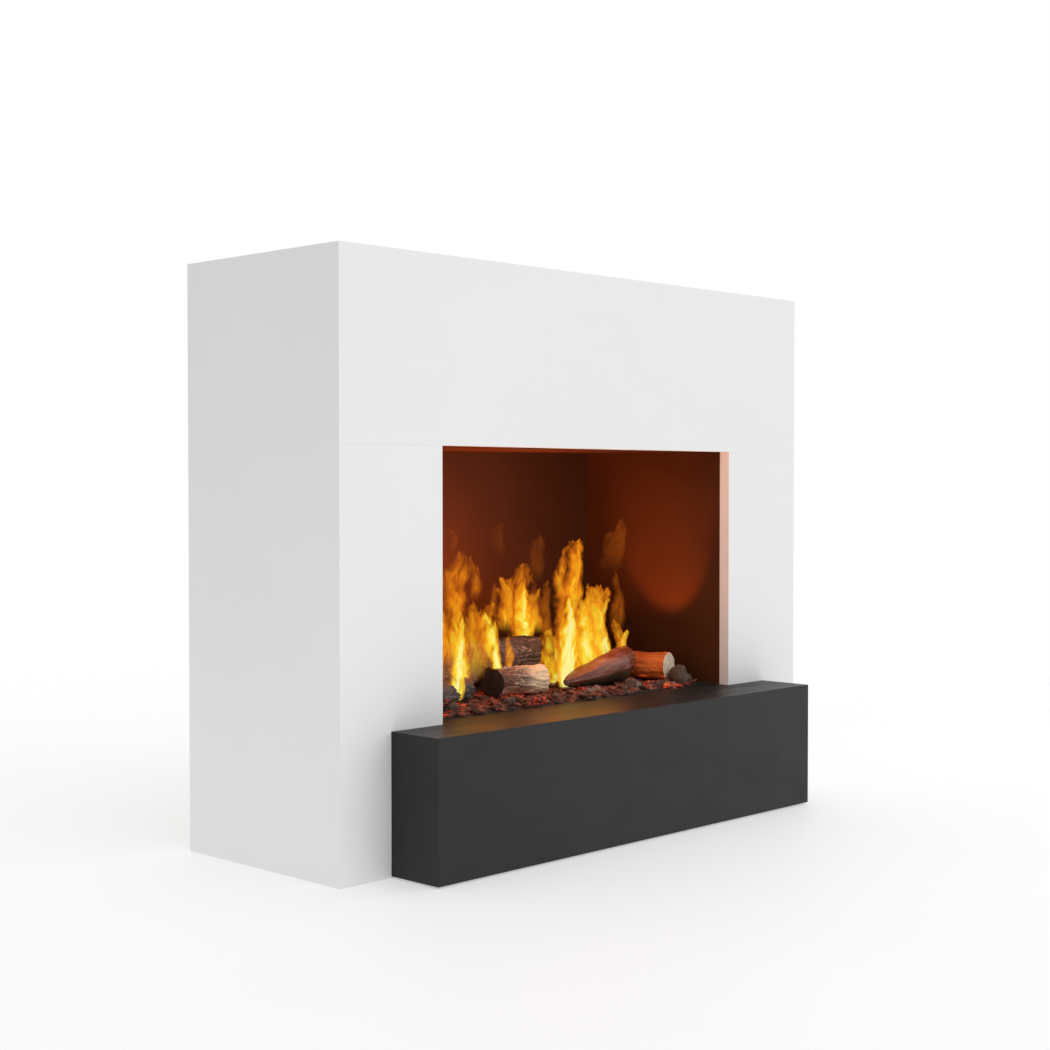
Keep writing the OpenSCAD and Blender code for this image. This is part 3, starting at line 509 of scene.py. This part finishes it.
def bark_look(name, tones, furrow_scale, pale_lines, pale, glow=0.0, gloss=(0.6, 0.85),
              side_tones=None, relief=1.0):
    """Bark or charred wood: long fibres, pale split lines and, in cracks, a painted glow of firelight.
    pale_lines is (share, width). side_tones is (axis, low, high, colour, share): a colour that
    grows along a local axis."""
    look = Look(name)
    fibres = look.noise(furrow_scale, 8, 0.68, 0.8, look.stretched((0.2, 1, 1)))
    flakes = look.noise(furrow_scale * 0.45, 5, 0.6, 1.2, look.stretched((0.5, 1, 1)))
    tone = look.math("ADD", look.math("MULTIPLY", fibres, 0.6), look.math("MULTIPLY", flakes, 0.4))
    base = look.ramp(tone, *tones)
    share, width = pale_lines
    split = look.noise(furrow_scale * 0.8, 4, 0.6, 1.6, look.stretched((0.16, 1, 1), (0.3, 0, 0)))
    off_line = look.math("ABSOLUTE", look.math("SUBTRACT", split, 0.5))
    on_line = look.fit(off_line, 0.0, width, share, 0.0, smooth=True)
    base = look.mix(on_line, base, pale)
    if side_tones:
        axis, low, high, colour, most = side_tones
        along = look.split(look.coords)[axis]
        wander = look.math("ADD", along, look.math("MULTIPLY", look.math("SUBTRACT", flakes, 0.5),
                                                   abs(high - low) * 1.6))
        base = look.mix(look.fit(wander, low, high, 0.0, most, smooth=True), base, colour)
    look.set("Base Color", base)
    look.set("Roughness", look.fit(tone, 0.3, 0.7, *gloss))
    coarse = look.bump(tone, 0.003 * relief, 0.9)
    lined = look.bump(on_line, 0.0008 * relief, 0.8, coarse)
    look.bump(look.noise(furrow_scale * 9, 3), 0.0004 * relief, 0.6, lined)
    # Painted glow: red emission in the cracks that stands in for the fire's light on the logs
    if glow:
        cracks = look.fit(fibres, 0.36, 0.46, 1.0, 0.0, smooth=True)
        patches = look.fit(look.noise(9, 2), 0.52, 0.68, smooth=True)
        look.shader.inputs["Emission Color"].default_value = (1.0, 0.13, 0.015, 1)
        look.set("Emission Strength", look.math("MULTIPLY", look.math("MULTIPLY", cracks, patches), glow))
    return look.material


def sawn_look(name, pale, dark):
    """Sawn or broken end: growth rings round the axis, fine fibres, darker at the rim."""
    look = Look(name, Roughness=0.75)
    parts = look.split(look.coords)
    radius = look.math("SQRT", look.math("ADD", look.math("POWER", parts[1], 2.0),
                                         look.math("POWER", parts[2], 2.0)))
    wobble = look.math("MULTIPLY", look.noise(35, 4), 0.008)
    rings = look.math("SINE", look.math("MULTIPLY", look.math("ADD", radius, wobble), 1800.0))
    shade = look.math("ADD", look.math("MULTIPLY", rings, 0.16), look.noise(70, 6, 0.7))
    look.set("Base Color", look.ramp(shade, (0.3, dark), (0.68, pale)))
    look.bump(shade, 0.0008, 0.8)
    return look.material


def log_line(node, heading, radius):
    """Ends of a level log's centre line, from its CAD box and its heading from +X."""
    low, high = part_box(node)
    along = Vector((math.cos(heading), math.sin(heading), 0))
    ux, uy = abs(along.x), abs(along.y)
    if ux > uy:
        half = ((high.x - low.x) / 2 - radius * uy) / ux
    else:
        half = ((high.y - low.y) / 2 - radius * ux) / uy
    middle = (low + high) / 2
    return middle - along * (half - 0.003), middle + along * (half - 0.003)


def make_rear_log():
    """Squared, charred log whose faces are split along the grain."""
    low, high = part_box("log_rear")
    half = (high - low) / 2

    def section(t, angle):
        return superellipse(angle, 7) * (half.z * 0.95 - 0.003 * math.sin(3.1 * t + angle))

    def skin(x, angle):
        across = Vector((x * 9, math.cos(angle) * 2.2, math.sin(angle) * 13))
        plates = Vector((x * 38, math.cos(angle) * 3, math.sin(angle) * 5 + 4))
        fissure = max(0.0, ridges(across, 5) - 0.86) / 0.14
        crack = max(0.0, ridges(plates, 3) - 0.93) / 0.07
        calm = min(1.0, min(x, 2 * half.x - x) / 0.012)
        return (-0.0035 * fissure ** 0.8 - 0.002 * crack) * calm + 0.001 * fractal(across * 2.3)

    def end_skin(co):
        return 0.003 * fractal(Vector((3.0, co.y * 45, co.z * 120)), 5) - 0.002

    mesh = log_mesh("rear_log", half.x * 2, section, skin, end_skin, 170, 128)
    for v in mesh.vertices:
        v.co.y *= half.y / half.z
    # Painted light: the warm tan that side_tones grows towards the left end (local X) stands in for the
    # left flames' light on the log
    char = bark_look("rear_bark", [(0.32, (0.012, 0.008, 0.007)), (0.5, (0.05, 0.031, 0.026)),
                                   (0.68, (0.13, 0.09, 0.078))], 58, (0.85, 0.024), (0.4, 0.28, 0.23),
                     side_tones=(0, 0.21, 0.11, (0.6, 0.33, 0.2), 0.7))
    core = sawn_look("rear_log_end", (0.035, 0.022, 0.018), (0.008, 0.006, 0.005))
    piece = new_piece("rear_log", mesh, "log_bed", [char, core], "log_rear")
    middle = (low + high) / 2
    place_along(piece, Vector((low.x, middle.y, middle.z)), Vector((high.x, middle.y, middle.z)))


def make_front_log():
    """Short round log: near-black left end, streaky bark, pale and splintered to the right."""
    radius = 0.029
    start, end = log_line("log_front", math.radians(-10.8), radius)
    length = (end - start).length

    def section(t, angle):
        return radius * (0.985 - 0.05 * math.sin(2.5 * t) + 0.03 * math.cos(2 * angle))

    def skin(x, angle):
        p = Vector((x * 16, math.cos(angle) * 2.4, math.sin(angle) * 2.4))
        flakes = max(0.0, fractal(p * 2.2 + Vector((0, 0, 7)), 4))
        calm = min(1.0, 0.3 + x / 0.03)
        return (-0.003 * ridges(p * 1.6, 5) ** 6 + 0.004 * flakes) * calm - 0.0015

    def end_skin(co):
        return 0.0015 * fractal(co * 70 + Vector((9, 0, 0)), 5)

    mesh = log_mesh("front_log", length, section, skin, end_skin)
    bark = bark_look("front_bark", [(0.36, (0.014, 0.008, 0.007)), (0.47, (0.09, 0.038, 0.028)),
                                    (0.56, (0.28, 0.12, 0.072)), (0.68, (0.48, 0.28, 0.17))], 30,
                     (0.9, 0.03), (0.62, 0.41, 0.27), 0.3,
                     side_tones=(0, length * 0.4, length * 0.85, (1.0, 0.74, 0.49), 0.95))
    core = sawn_look("front_log_end", (0.03, 0.018, 0.014), (0.006, 0.005, 0.005))
    piece = new_piece("front_log", mesh, "log_bed", [bark, core], "log_front")
    roll = 0.6
    slant = 0.36
    reach = 0.045
    # The left end is cut at a slant, which dies out along the log
    for v in mesh.vertices:
        sideways = v.co.y * math.cos(roll) - v.co.z * math.sin(roll)
        v.co.x += slant * (radius - sideways) * max(0.0, 1 - max(v.co.x, 0) / reach)
    place_along(piece, start, end, roll)


def make_centre_log():
    """Smooth charred limb that rises to the right and tapers to a lip at its high end."""
    low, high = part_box("log_centre")
    start = Vector((low.x + 0.004, (low.y + high.y) / 2 - 0.003, low.z + 0.015))
    end = Vector((high.x - 0.004, (low.y + high.y) / 2 + 0.003, low.z + 0.037))
    length = (end - start).length

    def section(t, angle):
        swell = 0.006 + 0.0255 * min(1.0, t * 1.2) ** 0.6
        lip = 1.0 - 0.6 * max(0.0, (t - 0.82) / 0.18) ** 1.6 * (0.5 - 0.5 * math.sin(angle))
        return swell * lip * (1 + 0.06 * math.cos(2 * angle + 3 * t))

    def skin(x, angle):
        p = Vector((x * 7, math.cos(angle) * 1.1, math.sin(angle) * 1.1))
        knot = max(0.0, fractal(p * 1.3 + Vector((2, 5, 1)), 2)) * 0.005
        return knot - 0.0007 * ridges(p * 3.0, 4) ** 4

    def end_skin(co):
        return 0.004 * (1 - (co.yz.length / 0.03) ** 2) + 0.001 * fractal(co * 60, 4)

    mesh = log_mesh("centre_log", length, section, skin, end_skin)
    # Painted shade: the dark olive that side_tones grows towards the underside (local Z) stands for shade
    # under the log
    bark = bark_look("centre_bark", [(0.3, (0.09, 0.02, 0.01)), (0.5, (0.2, 0.05, 0.027)),
                                     (0.7, (0.52, 0.24, 0.15))], 13, (0.2, 0.02), (0.6, 0.36, 0.24),
                     0.1, (0.16, 0.36), (2, 0.002, -0.012, (0.04, 0.03, 0.018), 0.95), 0.3)
    core = sawn_look("centre_log_end", (0.36, 0.2, 0.16), (0.14, 0.07, 0.055))
    piece = new_piece("centre_log", mesh, "log_bed", [bark, core], "log_centre")
    place_along(piece, start, end)


def make_right_log():
    """Log whose orange bark and strong glow are painted ember light; its near end shows pale wood."""
    radius = 0.029
    end, start = log_line("log_right", math.radians(106.3), radius)
    length = (end - start).length

    def section(t, angle):
        return radius * (0.95 + 0.04 * math.cos(2 * angle + 1) - 0.02 * math.sin(4 * t))

    def skin(x, angle):
        p = Vector((x * 14, math.cos(angle) * 1.9, math.sin(angle) * 1.9 + 3))
        return 0.002 * fractal(p * 1.7, 4) - 0.0016 * ridges(p * 2.1, 4) ** 5

    def end_skin(co):
        return 0.0025 * fractal(co * 80, 4)

    mesh = log_mesh("right_log", length, section, skin, end_skin)
    # Painted light: the saturated orange tones and the glow of 3.0 stand in for the embers' light on this
    # log
    bark = bark_look("right_bark", [(0.34, (0.28, 0.04, 0.008)), (0.48, (0.62, 0.13, 0.018)),
                                    (0.6, (0.82, 0.24, 0.04)), (0.75, (0.9, 0.42, 0.13))], 40,
                     (0.4, 0.02), (0.3, 0.05, 0.02), 3.0)
    pale = sawn_look("right_log_end", (1.0, 0.85, 0.64), (0.8, 0.61, 0.4))
    piece = new_piece("right_log", mesh, "log_bed", [bark, pale], "log_right")
    place_along(piece, start, end, 0.3)


def make_left_log():
    """Dark log at the left, half hidden by the pilaster."""
    radius = 0.024
    start, end = log_line("log_left", math.radians(19), radius)
    length = (end - start).length

    def section(t, angle):
        return radius * (0.97 + 0.05 * math.cos(2 * angle) + 0.03 * math.sin(5 * t))

    def skin(x, angle):
        p = Vector((x * 15, math.cos(angle) * 2, math.sin(angle) * 2 - 5))
        return 0.002 * fractal(p * 1.5, 4) - 0.0024 * ridges(p * 1.8, 5) ** 5

    def end_skin(co):
        return 0.003 * fractal(co * 75 + Vector((0, 4, 0)), 4)

    mesh = log_mesh("left_log", length, section, skin, end_skin)
    # Painted light: the red-brown that side_tones grows over the top (local Z) stands in for firelight
    # falling on the log
    bark = bark_look("left_bark", [(0.34, (0.012, 0.01, 0.009)), (0.5, (0.055, 0.042, 0.037)),
                                   (0.68, (0.16, 0.13, 0.12))], 50, (0.6, 0.03), (0.3, 0.25, 0.22), 0.5,
                     side_tones=(2, 0.006, 0.02, (0.3, 0.075, 0.045), 0.4))
    core = sawn_look("left_log_end", (0.08, 0.06, 0.05), (0.02, 0.015, 0.013))
    piece = new_piece("left_log", mesh, "log_bed", [bark, core], "log_left")
    place_along(piece, start, end)


# ---- embers ----


def rock(bm, layer, at, size, squash, seed, rounds, jag, tone):
    """Adds one displaced lump to a mesh; tone goes into the lump's attribute."""
    made = bmesh.ops.create_icosphere(bm, subdivisions=rounds, radius=1.0)
    turn = Matrix.Rotation(seed * 2.4, 3, "Z") @ Matrix.Rotation(math.sin(seed) * 0.5, 3, "Y")
    offset = Vector((seed * 3.7, seed * 1.3, -seed * 2.1))
    for v in made["verts"]:
        bulge = 1 + jag * fractal(v.co * 1.1 + offset, 3)
        shaped = Vector((v.co.x, v.co.y * 0.8, v.co.z * squash))
        v.co = at + turn @ (shaped * size * bulge)
        v[layer] = tone


def bed_height(x, y, low, high):
    """Height of the bed's surface over the pan's rim."""
    edge = min(x - low.x, high.x - x, y - low.y, high.y - y)
    rise = min(1.0, edge / 0.03)
    bumps = 0.0035 * fractal(Vector((x * 26, y * 26, 1.0)), 4)
    grit = 0.002 * fractal(Vector((x * 80, y * 80, 4.0)), 3)
    mound = 0.02 * math.exp(-((y - (high.y - 0.045)) / 0.032) ** 2)
    if x > 0.06:
        mound *= math.exp(-((x - 0.06) / 0.05) ** 2)
    return (0.0035 + bumps + grit + mound) * rise ** 0.6


def ember_look():
    """Cast embers: red-brown char and pinkish ash outside, with red where they glow from below."""
    look = Look("embers", Roughness=0.85)
    tone = look.attribute("tone")
    coarse = look.noise(55, 6, 0.65, 0.6)
    fine = look.noise(240, 5, 0.7)
    char = look.ramp(fine, (0.3, (0.028, 0.011, 0.007)), (0.7, (0.095, 0.035, 0.022)))
    ash = look.ramp(fine, (0.25, (0.13, 0.085, 0.08)), (0.75, (0.42, 0.31, 0.29)))
    rusty = look.ramp(coarse, (0.3, (0.11, 0.025, 0.013)), (0.7, (0.28, 0.08, 0.045)))
    ashy = look.fit(look.math("ADD", tone, look.math("MULTIPLY", coarse, 0.5)), 0.85, 1.15, smooth=True)
    base = look.mix(look.fit(coarse, 0.42, 0.6), char, rusty)
    look.set("Base Color", look.mix(ashy, base, ash))
    depth = look.bump(coarse, 0.002, 0.9)
    look.bump(fine, 0.0006, 0.8, depth)
    # Painted glow: the heat mask gives red emission that stands in for the light from below showing
    # through the embers
    regions = look.fit(look.noise(7, 2), 0.44, 0.62, smooth=True)
    heat = look.math("MULTIPLY", look.fit(coarse, 0.46, 0.62, smooth=True),
                     look.fit(tone, 0.1, 0.5, 1.0, 0.0, smooth=True))
    heat = look.math("MULTIPLY", heat, regions)
    look.set("Emission Color", look.ramp(heat, (0.0, (0.4, 0.012, 0.003)), (0.5, (0.9, 0.06, 0.01)),
                                         (1.0, (1.0, 0.2, 0.03))))
    look.set("Emission Strength", look.math("MULTIPLY", heat, 0.72))
    return look.material


def make_ember_bed():
    """Uneven bed with several hundred lumps, from fine grit to lumps the size of a walnut."""
    tray_low, tray_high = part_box("ember_tray")
    inset = 0.002
    base = tray_high.z + 0.0003
    low = Vector((tray_low.x + inset, tray_low.y + inset, base))
    high = Vector((tray_high.x - inset, tray_high.y - inset, base))
    bm = bmesh.new()
    tone = bm.verts.layers.float.new("tone")
    columns, rows = 190, 62
    grid = []
    for i in range(columns + 1):
        x = low.x + (high.x - low.x) * i / columns
        line = []
        for j in range(rows + 1):
            y = low.y + (high.y - low.y) * j / rows
            v = bm.verts.new((x, y, low.z + bed_height(x, y, low, high)))
            v[tone] = 0.3 + 0.5 * fractal(Vector((x * 18, y * 30, 8)), 3)
            line.append(v)
        grid.append(line)
    for left, right in zip(grid, grid[1:]):
        for j in range(rows):
            bm.faces.new((left[j], right[j], right[j + 1], left[j + 1]))
    rng = random.Random(11)
    for i in range(520):
        front = i % 2 == 0
        band = (low.y - 0.002, low.y + 0.04) if front else (low.y + 0.03, high.y - 0.01)
        size = rng.choice((0.004, 0.007, 0.01, 0.014)) * rng.uniform(0.8, 1.3)
        x = rng.uniform(low.x + 0.01, high.x - 0.01)
        y = rng.uniform(*band)
        z = low.z + bed_height(x, max(y, low.y + 0.001), low, high) + size * 0.1
        shade = rng.random() ** 1.8 * (0.6 + 0.4 * (x - low.x) / (high.x - low.x))
        rock(bm, tone, Vector((x, y, z)), size, rng.uniform(0.2, 0.42), i + 0.5,
             2 if size > 0.007 else 1, 0.7, shade)
    mesh = bpy.data.meshes.new("embers")
    bm.to_mesh(mesh)
    bm.free()
    new_piece("embers", mesh, "log_bed", [ember_look()], "ember_bed")


def stone_look():
    look = Look("stone", Roughness=0.8)
    veins = look.noise(60, 7, 0.65, 1.0)
    look.set("Base Color", look.ramp(veins, (0.3, (0.03, 0.018, 0.011)), (0.5, (0.09, 0.052, 0.036)),
                                     (0.72, (0.2, 0.135, 0.1))))
    rough = look.bump(veins, 0.002, 0.8)
    look.bump(look.noise(420, 3), 0.0004, 0.7, rough)
    return look.material


def make_stones():
    """Loose stones along the front and right of the bed; each has an X, a distance behind the
    pan's front edge, a size and a flatness."""
    low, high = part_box("ember_tray")
    top = high.z + 0.004
    front = low.y
    places = ((0.305, 0.016, 0.0205, 0.95), (0.337, 0.02, 0.011, 0.8), (0.168, 0.02, 0.015, 0.72),
              (0.143, 0.016, 0.009, 0.7), (0.245, 0.014, 0.010, 0.6), (0.272, 0.02, 0.008, 0.7),
              (-0.052, 0.012, 0.010, 0.7), (-0.17, 0.012, 0.012, 0.7), (-0.3, 0.02, 0.014, 0.7),
              (0.218, 0.184, 0.013, 0.7), (0.3, 0.19, 0.015, 0.7), (0.335, 0.1, 0.011, 0.7),
              (-0.33, 0.15, 0.013, 0.7), (0.03, 0.014, 0.007, 0.7))
    bm = bmesh.new()
    tone = bm.verts.layers.float.new("tone")
    for i, (x, back, size, squash) in enumerate(places):
        rock(bm, tone, Vector((x, front + back, top + size * squash * 0.7)), size, squash, i * 1.7 + 2,
             3, 0.3, 0.9)
    mesh = bpy.data.meshes.new("loose_stones")
    bm.to_mesh(mesh)
    bm.free()
    new_piece("loose_stones", mesh, "log_bed", [stone_look()])


# ---- flames ----

# Y of the line that the mist rises from, along the middle of the bed
CURTAIN_Y = 0.010


def flame_look():
    """Lit mist: pale and dense at the foot, orange and torn above, thin brown wisps on top.
    The ribbon gives (across, up, heat) and (density, soft foot, -); noise tears the outline."""
    look = Look("flame", Base_Color=(0, 0, 0, 1), Roughness=1.0, Specular_IOR_Level=0.0,
                Emission_Strength=1.0)
    across, up, own = look.split(look.attribute("tongue", "Vector"))
    dense, soft_foot, _ = look.split(look.attribute("mist", "Vector"))
    slow = look.math("SUBTRACT", look.noise(1.0, 3, 0.6, 0.5, look.stretched((21, 21, 16))), 0.5)
    quick = look.math("SUBTRACT", look.noise(1.0, 2, 0.55, 1.0, look.stretched((55, 55, 36))), 0.5)
    streak = look.noise(1.0, 3, 0.55, 2.4, look.stretched((33, 33, 15)))
    tear = look.math("ADD", look.math("MULTIPLY", slow, 1.6), look.math("MULTIPLY", quick, 0.42))
    looseness = look.fit(up, 0.0, 0.7, 0.35, 1.1)
    torn = look.math("ADD", across, look.math("MULTIPLY", tear, looseness))
    licked = look.math("ADD", up, look.math("MULTIPLY", quick, 0.2))
    profile = look.ramp(licked, (0.0, (0.5,) * 3), (0.14, (0.64,) * 3), (0.34, (0.74,) * 3),
                        (0.62, (0.66,) * 3), (0.82, (0.52,) * 3), (0.93, (0.34,) * 3), (1.0, (0.02,) * 3))
    inside = look.math("SUBTRACT", 1.0, look.math("DIVIDE", look.math("ABSOLUTE", torn), profile))
    height = look.split(look.coords)[2]
    heat = look.math("ADD", look.math("MULTIPLY", own, 0.5), look.fit(inside, 0.0, 0.9, -0.06, 0.4))
    heat = look.math("ADD", heat, look.fit(height, 0.25, 0.5, 0.24, -0.26))
    heat = look.math("ADD", heat, look.math("MULTIPLY", look.math("SUBTRACT", streak, 0.5), 0.65))
    look.set("Emission Color", look.ramp(heat, (0.0, (0.34, 0.07, 0.007)), (0.2, (0.42, 0.1, 0.006)),
                                         (0.38, (0.64, 0.15, 0.006)), (0.54, (0.88, 0.27, 0.009)),
                                         (0.68, (0.98, 0.41, 0.014)), (0.82, (1.0, 0.64, 0.025)),
                                         (0.92, (1.0, 0.84, 0.12)), (1.0, (1.0, 0.91, 0.32))))
    foot = look.fit(look.math("DIVIDE", up, look.math("ADD", soft_foot, 0.03)), 0.0, 1.0, smooth=True)
    solid = look.math("MULTIPLY", look.fit(inside, 0.0, 0.55, smooth=True), foot)
    gaps = look.math("ADD", 1.0, look.math("MULTIPLY", look.math("SUBTRACT", streak, 0.52),
                                           look.fit(up, 0.0, 0.8, 1.0, 2.8)), clamp=True)
    faded = look.math("MULTIPLY", dense, look.fit(up, 0.4, 1.0, 1.0, 0.75))
    look.set("Alpha", look.math("MULTIPLY", look.math("MULTIPLY", solid, gaps), faded, clamp=True))
    look.material.cycles.emission_sampling = "NONE"
    return look.material


def tongue(bm, place, mist, x, z, height, width, lean=0.0, y=CURTAIN_Y, heat=0.5, density=0.9,
           foot=0.0, seed=0.0):
    """Adds one upright ribbon; the material tears a tongue of flame out of its middle."""
    rows, columns = 28, 8
    lines = []
    for i in range(rows + 1):
        v = i / rows
        drift = lean * v ** 1.4 + 0.1 * width * math.sin(6.3 * (0.9 * v + seed)) * v
        line = []
        for k in range(columns + 1):
            u = -1 + 2 * k / columns
            belly = 0.12 * width * (1 - u * u) - 0.004 * math.sin(5 * v + seed * 9)
            vert = bm.verts.new((x + drift + u * width / 2, y - belly, z + height * v))
            vert[place] = (u, v, heat)
            vert[mist] = (density, foot, 0)
            line.append(vert)
        lines.append(line)
    for low, high in zip(lines, lines[1:]):
        for k in range(columns):
            bm.faces.new((low[k], low[k + 1], high[k + 1], high[k]))


def flame_piece(name, tongues, material):
    bm = bmesh.new()
    place = bm.verts.layers.float_vector.new("tongue")
    mist = bm.verts.layers.float_vector.new("mist")
    for i, settings in enumerate(tongues):
        tongue(bm, place, mist, seed=0.37 * i + 0.11, **settings)
    mesh = bpy.data.meshes.new(name)
    bm.to_mesh(mesh)
    bm.free()
    new_piece(name, mesh, "log_bed", [material])


def make_flames():
    """Three groups of tongues over the mist slot; in each the veils come first, then the hot
    cores, then the loose tips."""
    look = flame_look()
    left = [
        dict(x=-0.158, z=0.27, height=0.13, width=0.16, heat=0.5, density=0.55, foot=0.4, y=0.03),
        dict(x=-0.218, z=0.3, height=0.14, width=0.1, heat=0.6, density=0.85, foot=0.3, y=0.012),
        dict(x=-0.245, z=0.28, height=0.15, width=0.06, heat=0.7, density=0.85, foot=0.3, y=0.016),
        dict(x=-0.135, z=0.315, height=0.1, width=0.085, heat=0.5, density=0.75, foot=0.3, y=0.012),
        dict(x=-0.174, z=0.325, height=0.095, width=0.07, heat=0.4, density=0.6, foot=0.4, y=0.008),
        dict(x=-0.212, z=0.245, height=0.15, width=0.068, heat=1.0, density=1.0, y=-0.004),
        dict(x=-0.256, z=0.252, height=0.07, width=0.068, heat=0.9, density=0.95, y=-0.04),
        dict(x=-0.118, z=0.293, height=0.105, width=0.062, lean=-0.03, heat=0.95, density=1.0, y=0.002),
        dict(x=-0.082, z=0.288, height=0.062, width=0.036, heat=0.35, density=0.8, y=0.004),
        dict(x=-0.218, z=0.38, height=0.13, width=0.115, heat=0.45, density=0.85, foot=0.4, y=0.006),
        dict(x=-0.164, z=0.415, height=0.075, width=0.055, heat=0.35, density=0.65, foot=0.4),
    ]
    middle = [
        dict(x=0.062, z=0.33, height=0.145, width=0.14, heat=0.5, density=0.8, y=0.121),
        dict(x=0.135, z=0.33, height=0.11, width=0.06, heat=0.1, density=0.4, y=0.12),
        dict(x=0.022, z=0.342, height=0.108, width=0.1, heat=0.62, density=0.9, foot=0.3, y=0.118),
        dict(x=0.1, z=0.335, height=0.09, width=0.075, heat=0.5, density=0.75, foot=0.3, y=0.114),
        dict(x=0.062, z=0.325, height=0.11, width=0.11, heat=1.05, density=1.0, y=0.11),
        dict(x=0.058, z=0.365, height=0.09, width=0.105, heat=0.6, density=0.75, foot=0.4, y=0.106),
        dict(x=0.1, z=0.43, height=0.1, width=0.075, heat=0.0, density=0.3, foot=0.5, y=0.112),
        dict(x=-0.015, z=0.36, height=0.08, width=0.045, heat=0.15, density=0.4, foot=0.4, y=0.112),
        dict(x=0.082, z=0.243, height=0.11, width=0.12, heat=0.6, density=0.75, y=0.055),
    ]
    right = [
        dict(x=0.09, z=0.25, height=0.27, width=0.125, lean=0.008, heat=0.5, density=0.85, y=0.024),
        dict(x=0.13, z=0.262, height=0.175, width=0.18, lean=0.006, heat=0.6, density=0.95, y=0.02),
        dict(x=0.15, z=0.28, height=0.135, width=0.12, heat=0.7, density=0.8, y=0.012),
        dict(x=0.178, z=0.28, height=0.13, width=0.075, heat=0.95, density=0.9, y=0.008),
        dict(x=0.07, z=0.243, height=0.17, width=0.085, heat=1.15, density=1.0, y=0.002),
        dict(x=0.12, z=0.29, height=0.12, width=0.1, heat=0.85, density=0.8, foot=0.2, y=0.0),
        dict(x=0.095, z=0.38, height=0.145, width=0.095, lean=0.01, heat=0.88, density=1.0, foot=0.3,
             y=0.014),
        dict(x=0.052, z=0.415, height=0.09, width=0.05, lean=0.012, heat=0.75, density=0.85, foot=0.4,
             y=0.006),
        dict(x=0.228, z=0.33, height=0.13, width=0.07, heat=0.0, density=0.45, foot=0.4, y=0.014),
        dict(x=0.248, z=0.297, height=0.045, width=0.04, heat=0.75, density=0.9),
        dict(x=0.222, z=0.285, height=0.08, width=0.045, heat=0.4, density=0.7, y=0.004),
    ]
    wisps = [
        dict(x=0.205, z=0.45, height=0.11, width=0.11, lean=0.025, heat=-0.1, density=0.42, foot=0.5),
        dict(x=-0.1, z=0.49, height=0.07, width=0.05, heat=-0.15, density=0.18, foot=0.5),
        dict(x=-0.215, z=0.5, height=0.05, width=0.04, heat=-0.15, density=0.3, foot=0.5),
    ]
    for name, tongues in (("flames_left", left), ("flames_middle", middle), ("flames_right", right),
                          ("flame_wisps", wisps)):
        flame_piece(name, tongues, look)


# ---- lights ----

# Distances from the middle at which the floor starts to fade and is gone
FLOOR_SOLID = 1.4
FLOOR_GONE = 3.4

FLAME_COLOUR = (1.0, 0.3, 0.06)
BEAM_COLOUR = (1.0, 0.33, 0.1)


def light_fire():
    """Warm light from the flames, a wash up the back wall, and a beam up each side wall."""
    bed_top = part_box("ember_tray")[1].z
    for name, x in (("glow_left", -0.17), ("glow_middle", 0.02), ("glow_right", 0.15)):
        fire_lamp(name, "POINT", (x, CURTAIN_Y - 0.03, bed_top + 0.14), 0.3, FLAME_COLOUR,
                  shadow_soft_size=0.05)
    log_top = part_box("log_rear")[1].z
    fire_lamp("wash", "AREA", (-0.06, CURTAIN_Y + 0.065, log_top + 0.01), 3.9, BEAM_COLOUR,
              shape="RECTANGLE", size=0.38, size_y=0.06)
    wall_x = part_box("firebox_side_right")[0].x
    for name, side in (("beam_left", -1), ("beam_right", 1)):
        at = Vector((0.246 * side, CURTAIN_Y - 0.031, bed_top + 0.09))
        target = Vector((wall_x * side, 0.008, 0.48))
        fire_lamp(name, "SPOT", at, 2.2, BEAM_COLOUR, target - at,
                  spot_size=math.radians(63), spot_blend=0.4, shadow_soft_size=0.012)


def make_floor():
    """Pale floor that fades into the backdrop with distance."""
    look = Look("studio_floor", Roughness=0.6)
    patches = look.noise(0.6, 5)
    look.set("Base Color", look.ramp(patches, (0.3, (0.55, 0.55, 0.55)), (0.7, (0.57, 0.57, 0.57))))
    look.set("Emission Strength", look.fit(patches, 0.3, 0.7, 0.41, 0.42))
    look.bump(look.noise(300, 3), 0.00002)
    away = look.add("ShaderNodeVectorMath", operation="LENGTH")
    look.tree.links.new(look.coords, away.inputs[0])
    look.set("Alpha", look.fit(away.outputs["Value"], FLOOR_SOLID, FLOOR_GONE, 1.0, 0.0, smooth=True))
    mesh = bpy.data.meshes.new("floor")
    corners = [(-FLOOR_GONE, -FLOOR_GONE, 0), (FLOOR_GONE, -FLOOR_GONE, 0),
               (FLOOR_GONE, FLOOR_GONE, 0), (-FLOOR_GONE, FLOOR_GONE, 0)]
    mesh.from_pydata(corners, [], [(0, 1, 2, 3)])
    mesh.materials.append(look.material)
    floor = bpy.data.objects.new("floor", mesh)
    scene.collection.objects.link(floor)


make_camera()
make_world()
light_fire()
make_floor()
dress_cad_nodes()
make_rear_log()
make_front_log()
make_centre_log()
make_right_log()
make_left_log()
make_ember_bed()
make_stones()
make_flames()
